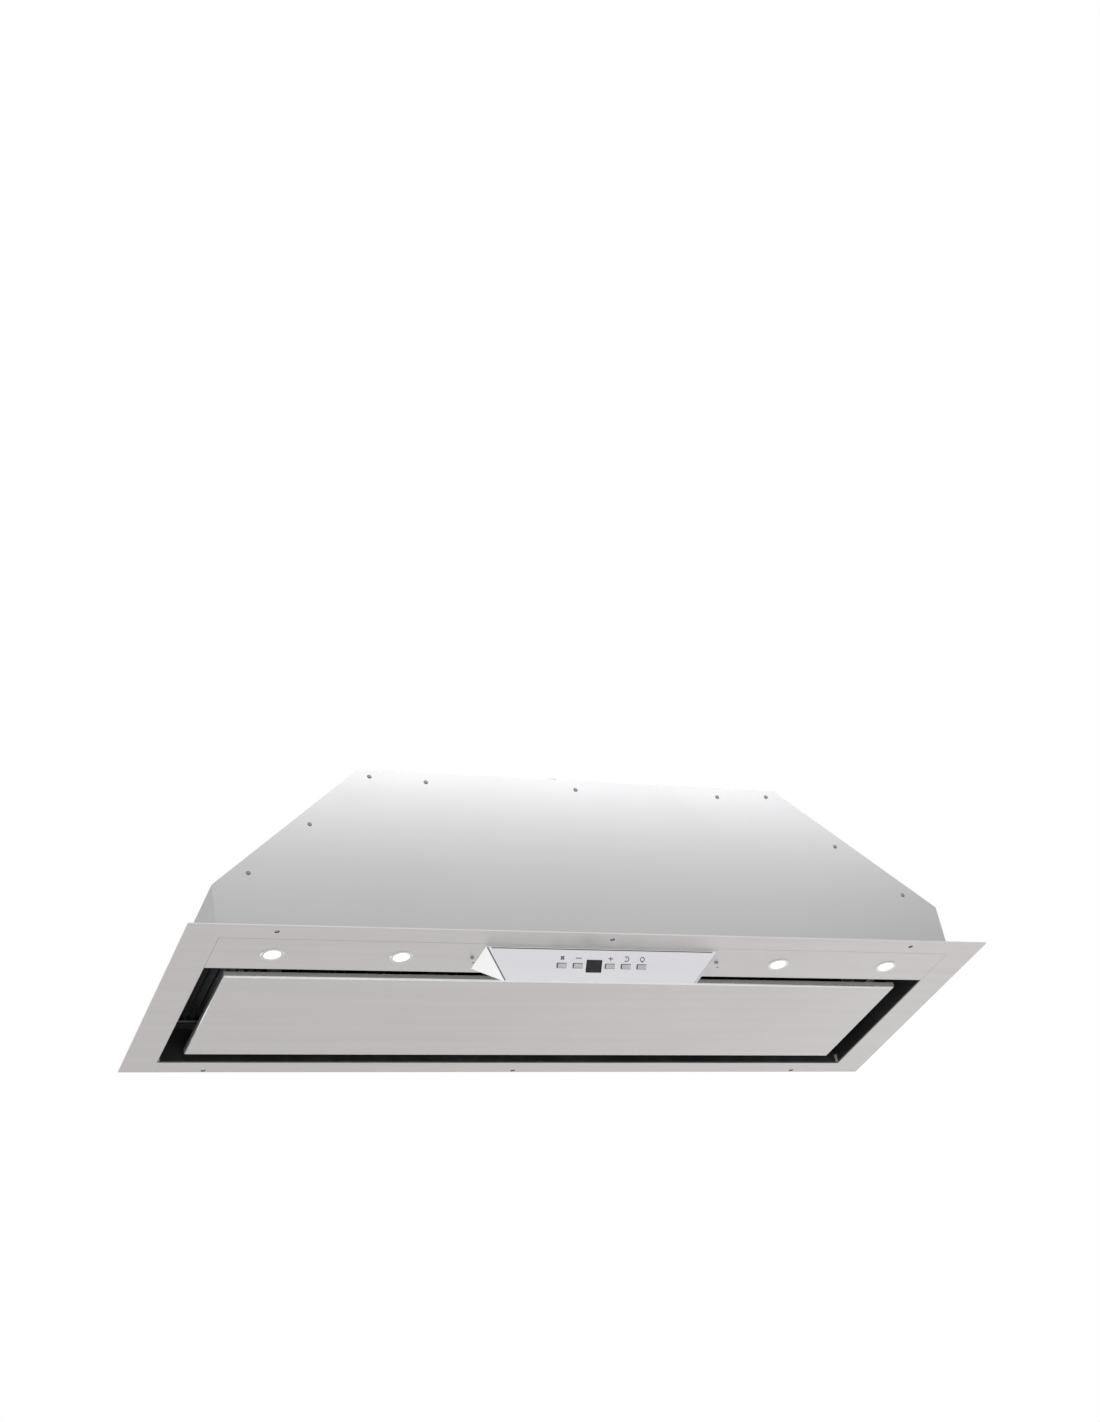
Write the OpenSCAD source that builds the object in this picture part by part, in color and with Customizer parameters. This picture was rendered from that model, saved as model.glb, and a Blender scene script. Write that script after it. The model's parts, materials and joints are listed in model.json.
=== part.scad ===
// Built-in range hood with perimeter suction, seen from below in its cabinet.
// X runs along the hood, Y towards the wall, Z up. The origin is the centre of
// the faceplate's top face, which lies against the underside of the cabinet.

/* [Faceplate] */
// Length of the faceplate along X
plate_w = 1160; // [1100:1:1300]
// Depth of the faceplate along Y
plate_d = 414; // [405:1:460]
// Thickness of the faceplate sheet
plate_t = 1.5; // [1:0.1:2]
// Width of the border at each end of the opening
border_side = 47; // [35:1:70]
// Width of the border in front of the opening
border_front = 34; // [28:1:45]
// Width of the border behind the opening
border_rear = 30; // [24:1:45]
// Height of the lip that is folded up round the opening
lip_h = 14; // [11:1:20]
// Bore of the fixing holes
fix_hole_d = 5; // [4:0.5:6]
// Distance from the middle fixing hole to the outer ones
fix_pitch = 462.5; // [350:0.5:500]
// Front row of holes from the front edge
fix_inset_front = 15.5; // [10:0.5:20]
// Rear row of holes from the rear edge
fix_inset_rear = 5.5; // [4.5:0.5:12]

/* [Sheets] */
// Thickness of the folded inner and casing sheets
sheet_t = 1.2; // [0.8:0.1:1.5]
// Play left between pieces that drop into each other
play = 0.3; // [0.2:0.05:0.4]
// Radial play of a pin or a screw in its hole
bore_play = 0.06; // [0.04:0.01:0.1]

/* [Light strip] */
// Depth of the strip that carries the lamps and the controls
strip_d = 79; // [76:1:95]
// Height of the flanges folded up round the strip
strip_fold = 12; // [8:1:20]
// Distance of the inner lamps from the middle
lamp_near = 279; // [230:1:320]
// Distance of the outer lamps from the middle
lamp_far = 453; // [400:1:480]
// Diameter of the lit lens
lens_d = 24; // [18:1:32]
// Width of the ring round each lens
bezel_w = 3.5; // [2:0.5:5]
// How far the ring stands below the strip
bezel_proud = 0.8; // [0.5:0.1:2]
// Height of the lamp module above the strip
lamp_h = 26; // [18:1:40]

/* [Control housing] */
// Length of the housing where it meets the strip
ctrl_w = 343.4; // [300:0.1:360]
// Depth of the housing where it meets the strip
ctrl_d = 61.3; // [50:0.1:66]
// Depth of its ridge below the strip
ctrl_h = 34.7; // [28:0.1:45]
// How far the slanted ends run in
ctrl_taper = 30.5; // [15:0.5:40]
// Wall of the moulding
ctrl_wall = 2.5; // [1.5:0.1:3]
// Width of the rim that runs in from the caps at its ends
cap_rim = 0.8; // [0.5:0.1:3]
// Distance between neighbouring buttons, and from them to the display
key_pitch = 23.5; // [21:0.1:25]
// Width of a button
button_w = 12.5; // [9:0.5:13]
// Height of a button
button_h = 6; // [5:0.5:8]
// Button centre, measured down the front face
button_s = 23.5; // [18:0.5:28]
// How far a button stands out
button_proud = 1; // [0.6:0.1:2]
// Travel of a button
button_travel = 1.2; // [0.8:0.1:1.5]
// Centre of the display along the housing
display_x = -14; // [-20:0.5:-12]
// Width of the display
display_w = 22.6; // [16:0.1:24]
// Height of the display
display_h = 17; // [12:0.5:20]
// Display centre, measured down the front face
display_s = 23.8; // [20:0.1:26]

/* [Suction panel] */
// Slot at each end of the panel
slot_side = 31; // [20:1:45]
// Slot in front of the panel
slot_front = 22; // [15:1:35]
// Slot behind the panel
slot_rear = 23; // [20:1:35]
// Height of the panel's folded edges
panel_fold = 8; // [6:0.5:9]
// Width of the return folded along the panel's edges
panel_return = 6; // [4:0.5:8]
// Distance of the hinges and catches from the middle
hinge_x = 430; // [300:1:450]
// Pivot axis in front of the panel's rear edge
pivot_inset = 10; // [8:0.5:14]
// Pivot axis above the faceplate's top face
pivot_z = 18; // [17:0.5:22]
// Diameter of the hinge pins
pin_d = 6; // [4:0.5:8]

/* [Inner walls and filters] */
// Height of the inner walls
wall_h = 60; // [55:1:65]
// Width of the flange folded in at their top
wall_flange = 10; // [8:1:14]
// Thickness of a filter cassette
filter_t = 9; // [8:0.5:11]
// Gap between neighbouring cassettes
filter_gap = 6; // [4:1:12]
// Width of a cassette's rim
filter_rim = 12; // [10:1:16]
// Travel of a filter latch
latch_travel = 6; // [4:0.5:8]

/* [Casing] */
// Height of the vertical skirt above the faceplate
skirt_h = 73.5; // [68:0.5:85]
// Height of the top plate
casing_h = 260.5; // [255:0.5:290]
// Length of the top plate
top_w = 634; // [560:1:700]
// Width of the tabs that join the sheets
seam_w = 28; // [24:1:34]
// Distance between the rivets along the faceplate's lip
lip_rivet_pitch = 185; // [150:1:220]
// Distance between the rivets at the ends
end_rivet_pitch = 110; // [80:1:140]
// Distance of the cable gland from the top plate's end
gland_inset = 87; // [60:1:110]

/* [Duct and dampers] */
// Outer diameter of the duct collar
duct_d = 150; // [140:1:155]
// Height of the duct collar
duct_h = 72; // [60:1:75]
// Wall of the duct collar
duct_wall = 2; // [1.5:0.1:3]
// Height of the damper spindle above the top plate
spindle_h = 10; // [9:0.5:14]
// Diameter of the damper spindle
spindle_d = 4; // [3:0.5:5]
// Thickness of a damper flap
flap_t = 1.5; // [1:0.1:2]

/* [Blower] */
// Outer diameter of the impeller
wheel_d = 140; // [125:1:145]
// Length of the impeller
wheel_w = 116; // [90:1:130]
// Number of blades
blade_n = 36; // [24:1:40]
// Radial depth of a blade
blade_depth = 13; // [10:0.5:16]
// Thickness of a blade
blade_t = 1; // [0.8:0.1:1.2]
// Gap between the impeller and the scroll's tongue
tongue_gap = 8; // [6:0.5:9]
// How much the scroll widens round the impeller
scroll_growth = 28; // [22:1:30]
// Gap between the impeller and the side plates
wheel_gap = 6; // [4:0.5:10]
// Height of the impeller's axis
wheel_z = 167; // [166:0.5:172]
// Diameter of the motor
motor_d = 92; // [80:1:100]
// Length of the motor
motor_l = 70; // [55:1:85]
// Diameter of the motor shaft
shaft_d = 8; // [6:0.5:10]

/* [Hidden] */

// Facets of a round edge
$fn = 48;
// How far a cut runs past the face that it opens
cut = 1;

// Faceplate and its opening
under = -plate_t;
opening_x = plate_w / 2 - border_side;
opening_front = border_front - plate_d / 2;
opening_rear = plate_d / 2 - border_rear;
fix_y = [fix_inset_front - plate_d / 2, plate_d / 2 - fix_inset_rear];
fix_x = [-fix_pitch, 0, fix_pitch];

// Light strip
strip_rear = opening_front + strip_d;
strip_top = under + sheet_t;
strip_fold_z = under + strip_fold;
lamp_x = [-lamp_far, -lamp_near, lamp_near, lamp_far];
lamp_y = (opening_front + strip_rear) / 2 + 1;
lens_t = 2.5;
lens_gap = 0.1;
tube_t = 1.2;
ledge_t = 0.5;
ledge_w = 0.8;
tube_top = under + 9.5;
bezel_tube_r = lens_d / 2 + lens_gap + tube_t;

// Control housing. Places on its front face are given along X, down the face
// from its top edge, and inwards from the face.
ctrl_mid = lamp_y - 2.5;
ctrl_front = ctrl_mid - ctrl_d / 2;
face_l = norm([ctrl_d / 2, ctrl_h]);
face_tilt = atan2(ctrl_h, ctrl_d / 2);
end_l = norm([ctrl_taper, ctrl_h]);
board_depth = 11;
board_t = 1.6;
board_w = 150;
board_x = -4;
board_s = [13, 38];
button_flange = 1;
display_flange = 1.5;
glue_gap = 0.05;
control_screw_x = 0.38 * ctrl_w;
strip_screw_x = ctrl_w / 2 + 9;
button_x = [for (k = [-2, -1, 1, 2, 3]) display_x + k * key_pitch];
switch_h = 4;
post_x = [board_x - board_w / 2 + 6, board_x + board_w / 2 - 6];
post_s = 34;

// Inner walls, tray and filters. Each filter is a node of its own.
filter_n = 3;
wall_x = opening_x - sheet_t;
wall_front_in = strip_rear + sheet_t;
wall_rear_in = opening_rear - sheet_t;
tray_z = wall_h;
tray_top = tray_z + sheet_t;
rail_leg = sheet_t;
filter_top = tray_z - play;
filter_low = filter_top - filter_t;
rail_z = filter_low - play - sheet_t;
filter_front = wall_front_in + wall_flange - play;
filter_rear = wall_rear_in - wall_flange + play;
filter_span = 2 * (wall_x - wall_flange);
filter_w = (filter_span - (filter_n - 1) * filter_gap) / filter_n;
filter_pitch = filter_w + filter_gap;
rail_lap = 7;
latch_w = 40;
latch_t = 3;
latch_reach = 5;
latch_back = 12;
pleat = 12;

// Suction panel and its hinges
panel_x = wall_x - slot_side;
panel_front = wall_front_in + slot_front;
panel_rear = wall_rear_in - slot_rear;
panel_in = under + sheet_t;
pivot_y = panel_rear - pivot_inset;
hinge_r = pin_d / 2 + 4;
arm_t = 2;
arm_foot = 35;
ear_t = 2;
ear_gap = 0.3;
ear_rise = 23;
ear_z = pivot_z + ear_rise;
catch_y = panel_front + 16;
catch_z = 30;
catch_w = 30;
magnet_h = 6;
magnet_d = 12;
strike_d = 16;
strike_w = 20;

// Casing
casing_x = opening_x + plate_t + sheet_t;
casing_low = 4;
casing_front_in = opening_front - plate_t;
casing_rear_in = opening_rear + plate_t;
top_under = casing_h - sheet_t;
slope = [casing_x - top_w / 2, casing_h - skirt_h];
slope_l = norm(slope);
rivet_d = 3.2;
rivet_head = 6.4;
rivet_crown = 3.8;
rivet_head_h = 1.1;
rivet_tail_d = 4.6;
rivet_tail = 1;
rivet_inset = 18;
lip_rivet_z = (casing_low + lip_h) / 2;
gland_at = [top_w / 2 - gland_inset, casing_front_in + 74.5];
gland_d = 20;
gland_bore = 8;

// Duct
duct_r = duct_d / 2;
bore_r = duct_r - duct_wall;
flap_gap = 1.2;
knuckle_r = spindle_d / 2 + 2;
knuckle_n = 4;
knuckle_span = 120;
spindle_z = casing_h + spindle_h;
collar_t = 1.5;
collar_flange = 13;
collar_screw_r = duct_r + collar_flange / 2 + 0.5;

// Blower, whose neck stands under the duct
wheel_r = wheel_d / 2;
tongue_angle = 80;
scroll_sweep = tongue_angle + 180;
scroll_steps = 26;
scroll_r0 = wheel_r + tongue_gap;
scroll_r1 = scroll_r0 + scroll_growth;
tongue_y = scroll_r0 * cos(tongue_angle);
tongue_z = scroll_r0 * sin(tongue_angle);
wheel_y = (scroll_r1 - tongue_y) / 2;
side_in = wheel_w / 2 + wheel_gap;
side_out = side_in + sheet_t;
ring_t = 1.5;
ring_bend = 6;
ring_r = wheel_r - blade_depth - 1;
ring_flange_r = ring_r + 14;
blade_lean = 9;
blade_steps = 4;
hub_r = 12;
hub_l = 26;
bell_w = 14;
bell_step = 2;
motor_boss = 5;
motor_clear = 40;
motor_back = -(side_out + motor_clear);
bracket_t = 3;
arm_r = ring_flange_r + bracket_t + 1;
arm_w = 7;
foot_angles = [120, 0, -120];
hang_t = 2;
hang_h = 18;
hang_w = 38;
hang_y = [-35, 25];
hang_ends = [hang_y[0] - 15, hang_y[1] + 15];
hang_screw_x = 30;
hang_screw_z = top_under - hang_h / 2 - 1;

// Electronics on the tray's front
box_w = 170;
box_start = 60;
box_x = [box_start, box_start + box_w];
box_y = [opening_front + 5, wall_front_in - 5];
box_h = 45;
box_wall = 2;
box_post = 4;

// Screws
screw_d = 3;
screw_head = 5.6;
screw_head_h = 1.8;
screw_point = 4.4;
screw_end = 2;

steel = "#c3c2c1";
casing_steel = "#b9b9bb";
black = "#222222";
cover = "#d6d5d9";
white = "#f1f0f4";
zinc = "#a9adb0";
dark = "#3a3a3c";

// A box between two corners
module block(a, b) { translate(a) cube(b - a); }

// An outline of Y and Z, drawn out along X
module along_x(x0, x1) {
    translate([x0, 0, 0]) rotate([90, 0, 90]) linear_extrude(x1 - x0) children();
}

// An outline of X and Z, drawn out along Y
module along_y(y0, y1) {
    translate([0, y1, 0]) rotate([90, 0, 0]) linear_extrude(y1 - y0) children();
}

// A profile of radius and distance, turned about an axis along X
module about_x() { rotate([0, 90, 0]) rotate_extrude() children(); }

// Copies on both sides of the middle plane
module both_sides() {
    children();
    mirror([1, 0, 0]) children();
}

// A pan-head screw whose head bears on z = 0 and whose shank runs up
module screw(l) {
    translate([0, 0, -screw_head_h])
        cylinder(d1 = screw_point, d2 = screw_head, h = screw_head_h);
    cylinder(d = screw_d, h = l);
}

// The hole that a screw's shank passes through
module screw_hole(l) {
    translate([0, 0, -cut]) cylinder(d = screw_d + 2 * bore_play, h = l + 2 * cut);
}

// Everything inside the faceplate's opening, grown by a margin
module opening_block(grow, z0, z1) {
    block([-opening_x - grow, opening_front - grow, z0],
        [opening_x + grow, opening_rear + grow, z1]);
}

module faceplate() {
    color(steel)
    difference() {
        union() {
            block([-plate_w / 2, -plate_d / 2, under], [plate_w / 2, plate_d / 2, 0]);
            opening_block(plate_t, under, lip_h);
        }
        opening_block(0, under - cut, lip_h + cut);
        for (x = fix_x, y = fix_y)
            translate([x, y, under - cut])
                cylinder(d = fix_hole_d, h = plate_t + 2 * cut);
        lip_rivets() rivet_hole();
    }
}

// The strip is a shallow tray whose flanges stand between the lip and the wall.
module light_strip() {
    x = opening_x - play;
    y0 = opening_front + play;
    y1 = strip_rear - play;
    slot_half_l = 100;
    slot_half_w = 20;
    color(steel)
    difference() {
        block([-x, y0, under], [x, y1, strip_fold_z]);
        block([-x + sheet_t, y0 + sheet_t, strip_top],
            [x - sheet_t, y1 - sheet_t, strip_fold_z + cut]);
        for (lx = lamp_x)
            translate([lx, lamp_y, under - cut])
                cylinder(r = bezel_tube_r + bore_play, h = sheet_t + 2 * cut);
        block([-slot_half_l, ctrl_mid - slot_half_w, under - cut],
            [slot_half_l, ctrl_mid + slot_half_w, strip_top + cut]);
        both_sides() {
            translate([strip_screw_x, ctrl_mid, under]) screw_hole(sheet_t);
            translate([control_screw_x, ctrl_mid, under]) screw_hole(sheet_t);
        }
    }
}

// Cross members over the strip, each with a bush for the strip's screw
module strip_brackets() {
    w = 24;
    t = 1.5;
    color(zinc)
    both_sides()
    translate([strip_screw_x, 0, 0])
    difference() {
        union() {
            block([-w / 2, opening_front, strip_fold_z], [w / 2, strip_rear, strip_fold_z + t]);
            block([-w / 2, strip_rear - t, strip_fold_z], [w / 2, strip_rear, strip_fold_z + w]);
            translate([0, ctrl_mid, strip_top])
                cylinder(d = 8, h = strip_fold_z - strip_top + t);
        }
        translate([0, ctrl_mid, strip_top]) screw_hole(strip_fold);
    }
}

// Two screws beside the control housing, and two inside it from above
module strip_screws() {
    color(zinc)
    both_sides() {
        translate([strip_screw_x, ctrl_mid, under]) screw(strip_fold - 1);
        translate([control_screw_x, ctrl_mid, strip_top]) mirror([0, 0, 1]) screw(9);
    }
}

// One upright wall with the flange folded over at its top. One face of the wall
// is at 0 and the flange points along +Y.
module wall_profile() {
    polygon([[0, 0], [sheet_t, 0], [sheet_t, wall_h - sheet_t],
        [wall_flange, wall_h - sheet_t], [wall_flange, wall_h], [0, wall_h]]);
}

// The front wall's flange points forward, over the light strip.
module front_wall() {
    color(black)
    translate([0, wall_front_in, 0]) mirror([0, 1, 0])
        along_x(-opening_x, opening_x) wall_profile();
}

module rear_wall() {
    color(black)
    translate([0, opening_rear, 0]) mirror([0, 1, 0])
        along_x(-opening_x, opening_x) wall_profile();
}

module end_walls() {
    color(black)
    both_sides()
    difference() {
        translate([opening_x, 0, 0]) mirror([1, 0, 0])
            along_y(wall_front_in, wall_rear_in) wall_profile();
        for (y = [wall_front_in - cut, wall_rear_in - wall_flange + sheet_t])
            block([wall_x - wall_flange, y, wall_h - sheet_t - cut / 2],
                [opening_x + cut, y + wall_flange - sheet_t + cut, wall_h + cut]);
    }
}

// Middles of the filters along X
function filter_at(i) = (i - (filter_n - 1) / 2) * filter_pitch;

// The tray closes the casing from below, with a window over each filter.
module filter_tray() {
    edge = 12;
    front = opening_front + 2;
    color(zinc)
    difference() {
        union() {
            block([-opening_x, front, tray_z], [opening_x, opening_rear - 2, tray_top]);
            block([-wall_x, front, tray_z], [wall_x, front + sheet_t, tray_top + edge]);
        }
        for (i = [0 : filter_n - 1])
            block([filter_at(i) - filter_w / 2 + filter_rim, filter_front + filter_rim,
                    tray_z - cut],
                [filter_at(i) + filter_w / 2 - filter_rim, filter_rear - filter_rim,
                    tray_top + cut]);
    }
}

// The rear rail carries the filters' edge. The front rail holds the latches.
module filter_rails() {
    color(zinc) {
        block([-wall_x, wall_front_in, rail_z],
            [wall_x, wall_front_in + rail_leg, wall_h - sheet_t]);
        block([-wall_x, wall_front_in, rail_z],
            [wall_x, filter_front - play - 0.7, rail_z + sheet_t]);
        block([-wall_x, wall_rear_in - rail_leg, rail_z],
            [wall_x, wall_rear_in, wall_h - sheet_t]);
        block([-wall_x, filter_rear - rail_lap, rail_z],
            [wall_x, wall_rear_in, rail_z + sheet_t]);
    }
}

// A cassette's rim, with the latch's seat at the middle of its front
module filter_frame(i) {
    w = filter_w / 2;
    seat = latch_w / 2 + 6;
    rim_t = 1;
    lip = 4;
    color(zinc)
    translate([filter_at(i), 0, 0])
    difference() {
        union() {
            difference() {
                block([-w, filter_front, filter_low], [w, filter_rear, filter_top]);
                block([-w + rim_t, filter_front + rim_t, filter_low + rim_t],
                    [w - rim_t, filter_rear - rim_t, filter_top - rim_t]);
                block([-w + filter_rim, filter_front + filter_rim, filter_low - cut],
                    [w - filter_rim, filter_rear - filter_rim, filter_top + cut]);
            }
            block([-seat, filter_front, filter_low],
                [seat, filter_front + latch_back + latch_travel + lip, filter_top - rim_t - 3]);
        }
        block([-latch_w / 2 - play, filter_front - cut, filter_low - cut],
            [latch_w / 2 + play, filter_front + latch_back + latch_travel + play,
                filter_low + latch_t + play]);
        block([-latch_w / 2 - lip, filter_front - cut, filter_low + 1],
            [latch_w / 2 + lip, filter_front + latch_back + latch_travel + play,
                filter_low + latch_t + play]);
    }
}

module filter_frame_left() { filter_frame(0); }
module filter_frame_middle() { filter_frame(1); }
module filter_frame_right() { filter_frame(2); }

// Pleated expanded mesh between the rims
module filter_mesh(i) {
    rim_t = 1;
    w = filter_w / 2 - rim_t - play;
    amp = filter_t / 2 - rim_t - play - 0.6;
    n = floor(2 * w / pleat) * 2;
    zc = (filter_low + filter_top) / 2;
    step = 2 * w / n;
    clear = latch_back + latch_travel + 6;
    color("#8d9093")
    translate([filter_at(i), 0, zc])
    along_y(filter_front + clear, filter_rear - rim_t - play)
        polygon(concat(
            [for (k = [0 : n]) [-w + k * step, (k % 2 == 0 ? -amp : amp) + 0.5]],
            [for (k = [n : -1 : 0]) [-w + k * step, (k % 2 == 0 ? -amp : amp) - 0.5]]));
}

module filter_meshes() {
    for (i = [0 : filter_n - 1]) filter_mesh(i);
}

// Sliding latch: its tongue rests on the front rail and its grip hangs below
module filter_latch(i) {
    grip = 5;
    color(dark)
    translate([filter_at(i), 0, 0]) {
        block([-latch_w / 2, filter_front - latch_reach, filter_low],
            [latch_w / 2, filter_front + latch_back, filter_low + latch_t]);
        block([-latch_w / 2 - 3, filter_front + 2, filter_low + 1 + play / 2],
            [latch_w / 2 + 3, filter_front + latch_back, filter_low + latch_t]);
        block([-latch_w / 4, filter_front + latch_back - 3, filter_low - grip],
            [latch_w / 4, filter_front + latch_back, filter_low]);
    }
}

module filter_latch_left() { filter_latch(0); }
module filter_latch_middle() { filter_latch(1); }
module filter_latch_right() { filter_latch(2); }

// Corners of an end's outline, set in from the outside by a distance
function end_corner(in) = [casing_x - in, skirt_h - in * slope[0] / slope_l
    + in * (slope_l - slope[1]) / slope[0] * slope[1] / slope_l];
function end_top(in) = [top_w / 2 + sheet_t * slope[0] / slope[1] - in * slope_l / slope[1],
    top_under];
function end_path(in, low) = [[casing_x - in, low], end_corner(in), end_top(in)];

// A point on the right-hand seam: a share of the slope, set in from the edge
function seam_point(share, in) = end_corner(in) * (1 - share) + end_top(in) * share;

// Where the rivets go through the front and the rear sheet, as X and Z
seam_rivets = [for (s = [0.14, 0.54, 0.95]) seam_point(s, rivet_inset)];
face_rivets = concat(
    [for (k = [-2 : 2]) [k * lip_rivet_pitch, lip_rivet_z]],
    [for (x = [-0.35, 0, 0.35]) [x * top_w, top_under - seam_w / 2]],
    [for (p = seam_rivets, side = [-1, 1]) [side * p[0], p[1]]]);
end_rivet_y = [-end_rivet_pitch, 0, end_rivet_pitch];

// Places on the casing's four sides, with z pointing out of the sheet
module face_places(p) {
    translate([p[0], casing_front_in, p[1]]) rotate([90, 0, 0]) children();
    translate([p[0], casing_rear_in, p[1]]) rotate([-90, 0, 0]) children();
}
module end_places() {
    for (y = end_rivet_y)
        both_sides()
            translate([casing_x - sheet_t, y, lip_rivet_z]) rotate([0, 90, 0]) children();
}
module lip_rivets() {
    for (p = face_rivets)
        if (p[1] < lip_h) face_places(p) children();
    end_places() children();
}
module all_rivets() {
    for (p = face_rivets) face_places(p) children();
    end_places() children();
}

// The hole that a rivet's shank passes through
module rivet_hole() {
    translate([0, 0, -plate_t - cut])
        cylinder(d = rivet_d + 2 * bore_play, h = plate_t + sheet_t + 2 * cut);
}

// A rivet through the outer sheet and what lies behind it. Its tail is flush
// where another piece stands close behind.
module rivet(behind, tail) {
    translate([0, 0, sheet_t])
        cylinder(d1 = rivet_head, d2 = rivet_crown, h = rivet_head_h, $fn = 24);
    translate([0, 0, -behind]) cylinder(d = rivet_d, h = behind + sheet_t, $fn = 24);
    if (tail > 0)
        translate([0, 0, -behind - tail]) cylinder(d = rivet_tail_d, h = tail, $fn = 24);
}

// Blind rivets that join the casing's sheets to each other and to the lip
module casing_rivets() {
    color(zinc) {
        for (p = face_rivets)
            face_places(p)
                rivet(p[1] < lip_h ? plate_t : sheet_t, p[1] < lip_h ? 0 : rivet_tail);
        end_places() rivet(plate_t, 0);
    }
}

// Front view of the casing, which is also its front and its rear sheet
module casing_outline() {
    x = casing_x;
    polygon([[-x, casing_low], [x, casing_low], [x, skirt_h], [top_w / 2, casing_h],
        [-top_w / 2, casing_h], [-x, skirt_h]]);
}

module casing_front() {
    color(casing_steel)
    difference() {
        along_y(casing_front_in - sheet_t, casing_front_in) casing_outline();
        all_rivets() rivet_hole();
    }
}

module casing_rear() {
    color(casing_steel)
    difference() {
        along_y(casing_rear_in, casing_rear_in + sheet_t) casing_outline();
        all_rivets() rivet_hole();
    }
}

function reversed(list) = [for (i = [len(list) - 1 : -1 : 0]) list[i]];

// Skirt and slope in one sheet, with seam tabs behind the front and rear sheets
module casing_end() {
    color(casing_steel)
    difference() {
        union() {
            along_y(casing_front_in, casing_rear_in)
                polygon(concat(end_path(0, casing_low), reversed(end_path(sheet_t, casing_low))));
            for (y = [casing_front_in, casing_rear_in - sheet_t])
                along_y(y, y + sheet_t)
                    polygon(concat(end_path(sheet_t / 2, lip_h + cut),
                        reversed(end_path(seam_w, lip_h + cut))));
        }
        all_rivets() rivet_hole();
    }
}

module casing_end_left() { mirror([1, 0, 0]) casing_end(); }
module casing_end_right() { casing_end(); }

// Places on the top plate
module collar_places() {
    for (a = [45 : 90 : 315]) rotate(a) translate([collar_screw_r, 0, casing_h]) children();
}
module blower_top_places() {
    for (x = [-1, 1], y = hang_y)
        translate([x * (side_out + hang_screw_x), y, casing_h]) children();
}

// The neck's opening, as far as it lies within the duct
module outlet_cut() {
    intersection() {
        translate([0, 0, top_under - cut]) cylinder(r = bore_r, h = sheet_t + 2 * cut);
        block([-side_in, wheel_y - scroll_r1, top_under - cut],
            [side_in, wheel_y + tongue_y, casing_h + cut]);
    }
}

// Top plate with tabs along its front and rear, and the holes in it
module casing_top() {
    tab_x = end_top(seam_w)[0] - 2;
    color(casing_steel)
    difference() {
        union() {
            block([-top_w / 2, casing_front_in, top_under],
                [top_w / 2, casing_rear_in, casing_h]);
            for (y = [casing_front_in, casing_rear_in - sheet_t])
                block([-tab_x, y, top_under - seam_w], [tab_x, y + sheet_t, casing_h]);
        }
        outlet_cut();
        translate([gland_at[0], gland_at[1], top_under - cut])
            cylinder(d = gland_d + 2 * bore_play, h = sheet_t + 2 * cut);
        collar_places() mirror([0, 0, 1]) screw_hole(sheet_t);
        blower_top_places() mirror([0, 0, 1]) screw_hole(sheet_t);
        all_rivets() rivet_hole();
    }
}

// Tube with a foot flange, and the seat that the closed flaps rest on
module duct_collar() {
    seat_w = 2;
    bead = 1.5;
    seat_h = spindle_h - flap_t / 2 - 0.2;
    color(zinc)
    difference() {
        translate([0, 0, casing_h])
        rotate_extrude($fn = 96)
            polygon([[bore_r, 0], [duct_r + collar_flange, 0],
                [duct_r + collar_flange, collar_t], [duct_r, collar_t],
                [duct_r, duct_h], [bore_r, duct_h],
                [bore_r, seat_h], [bore_r - seat_w, seat_h],
                [bore_r - seat_w, seat_h - bead], [bore_r, seat_h - bead - seat_w]]);
        collar_places() screw_hole(collar_t);
        translate([0, 0, spindle_z]) rotate([0, 90, 0])
            cylinder(d = spindle_d + 2 * bore_play, h = 2 * duct_r + 2 * cut, center = true);
    }
}

module collar_screws() {
    color(zinc)
    collar_places()
        translate([0, 0, collar_t]) mirror([0, 0, 1]) screw(collar_t + sheet_t + screw_end);
}

// The spindle's ends lie in the collar's wall
module damper_spindle() {
    color(zinc)
    translate([0, 0, spindle_z]) rotate([0, 90, 0])
        cylinder(d = spindle_d, h = 2 * duct_r - 0.4, center = true);
}

// Half a disc with two knuckles. The two halves' knuckles alternate.
module damper_flap() {
    w = knuckle_span / knuckle_n;
    color(zinc)
    translate([0, 0, spindle_z])
    difference() {
        union() {
            intersection() {
                translate([0, 0, -flap_t / 2]) cylinder(r = bore_r - flap_gap, h = flap_t);
                block([-duct_r, knuckle_r + play, -flap_t], [duct_r, duct_r, flap_t]);
            }
            for (k = [0 : 2 : knuckle_n - 1])
                translate([-knuckle_span / 2 + k * w + play, 0, 0]) {
                    block([0, 0, -flap_t / 2], [w - 2 * play, knuckle_r + 4, flap_t / 2]);
                    rotate([0, 90, 0]) cylinder(r = knuckle_r, h = w - 2 * play);
                }
        }
        rotate([0, 90, 0])
            cylinder(d = spindle_d + 2 * bore_play, h = 2 * duct_r, center = true);
    }
}

module damper_flap_rear() { damper_flap(); }
module damper_flap_front() { rotate(180) damper_flap(); }

// The scroll's outline: up the tongue's wall, round the spiral and up the front
function scroll_point(k, off) = let (
    a = tongue_angle - k * scroll_sweep / scroll_steps,
    r = scroll_r0 + scroll_growth * k / scroll_steps + off)
    [wheel_y + r * cos(a), wheel_z + r * sin(a)];
function scroll_path(off) = concat(
    [[wheel_y + tongue_y + off, top_under], [wheel_y + tongue_y + off, wheel_z + tongue_z + off]],
    [for (k = [1 : scroll_steps]) scroll_point(k, off)],
    [[wheel_y - scroll_r1 - off, top_under]]);

module scroll_wrap() {
    color(zinc)
    along_x(-side_in, side_in)
        polygon(concat(scroll_path(sheet_t), reversed(scroll_path(0))));
}

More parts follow.
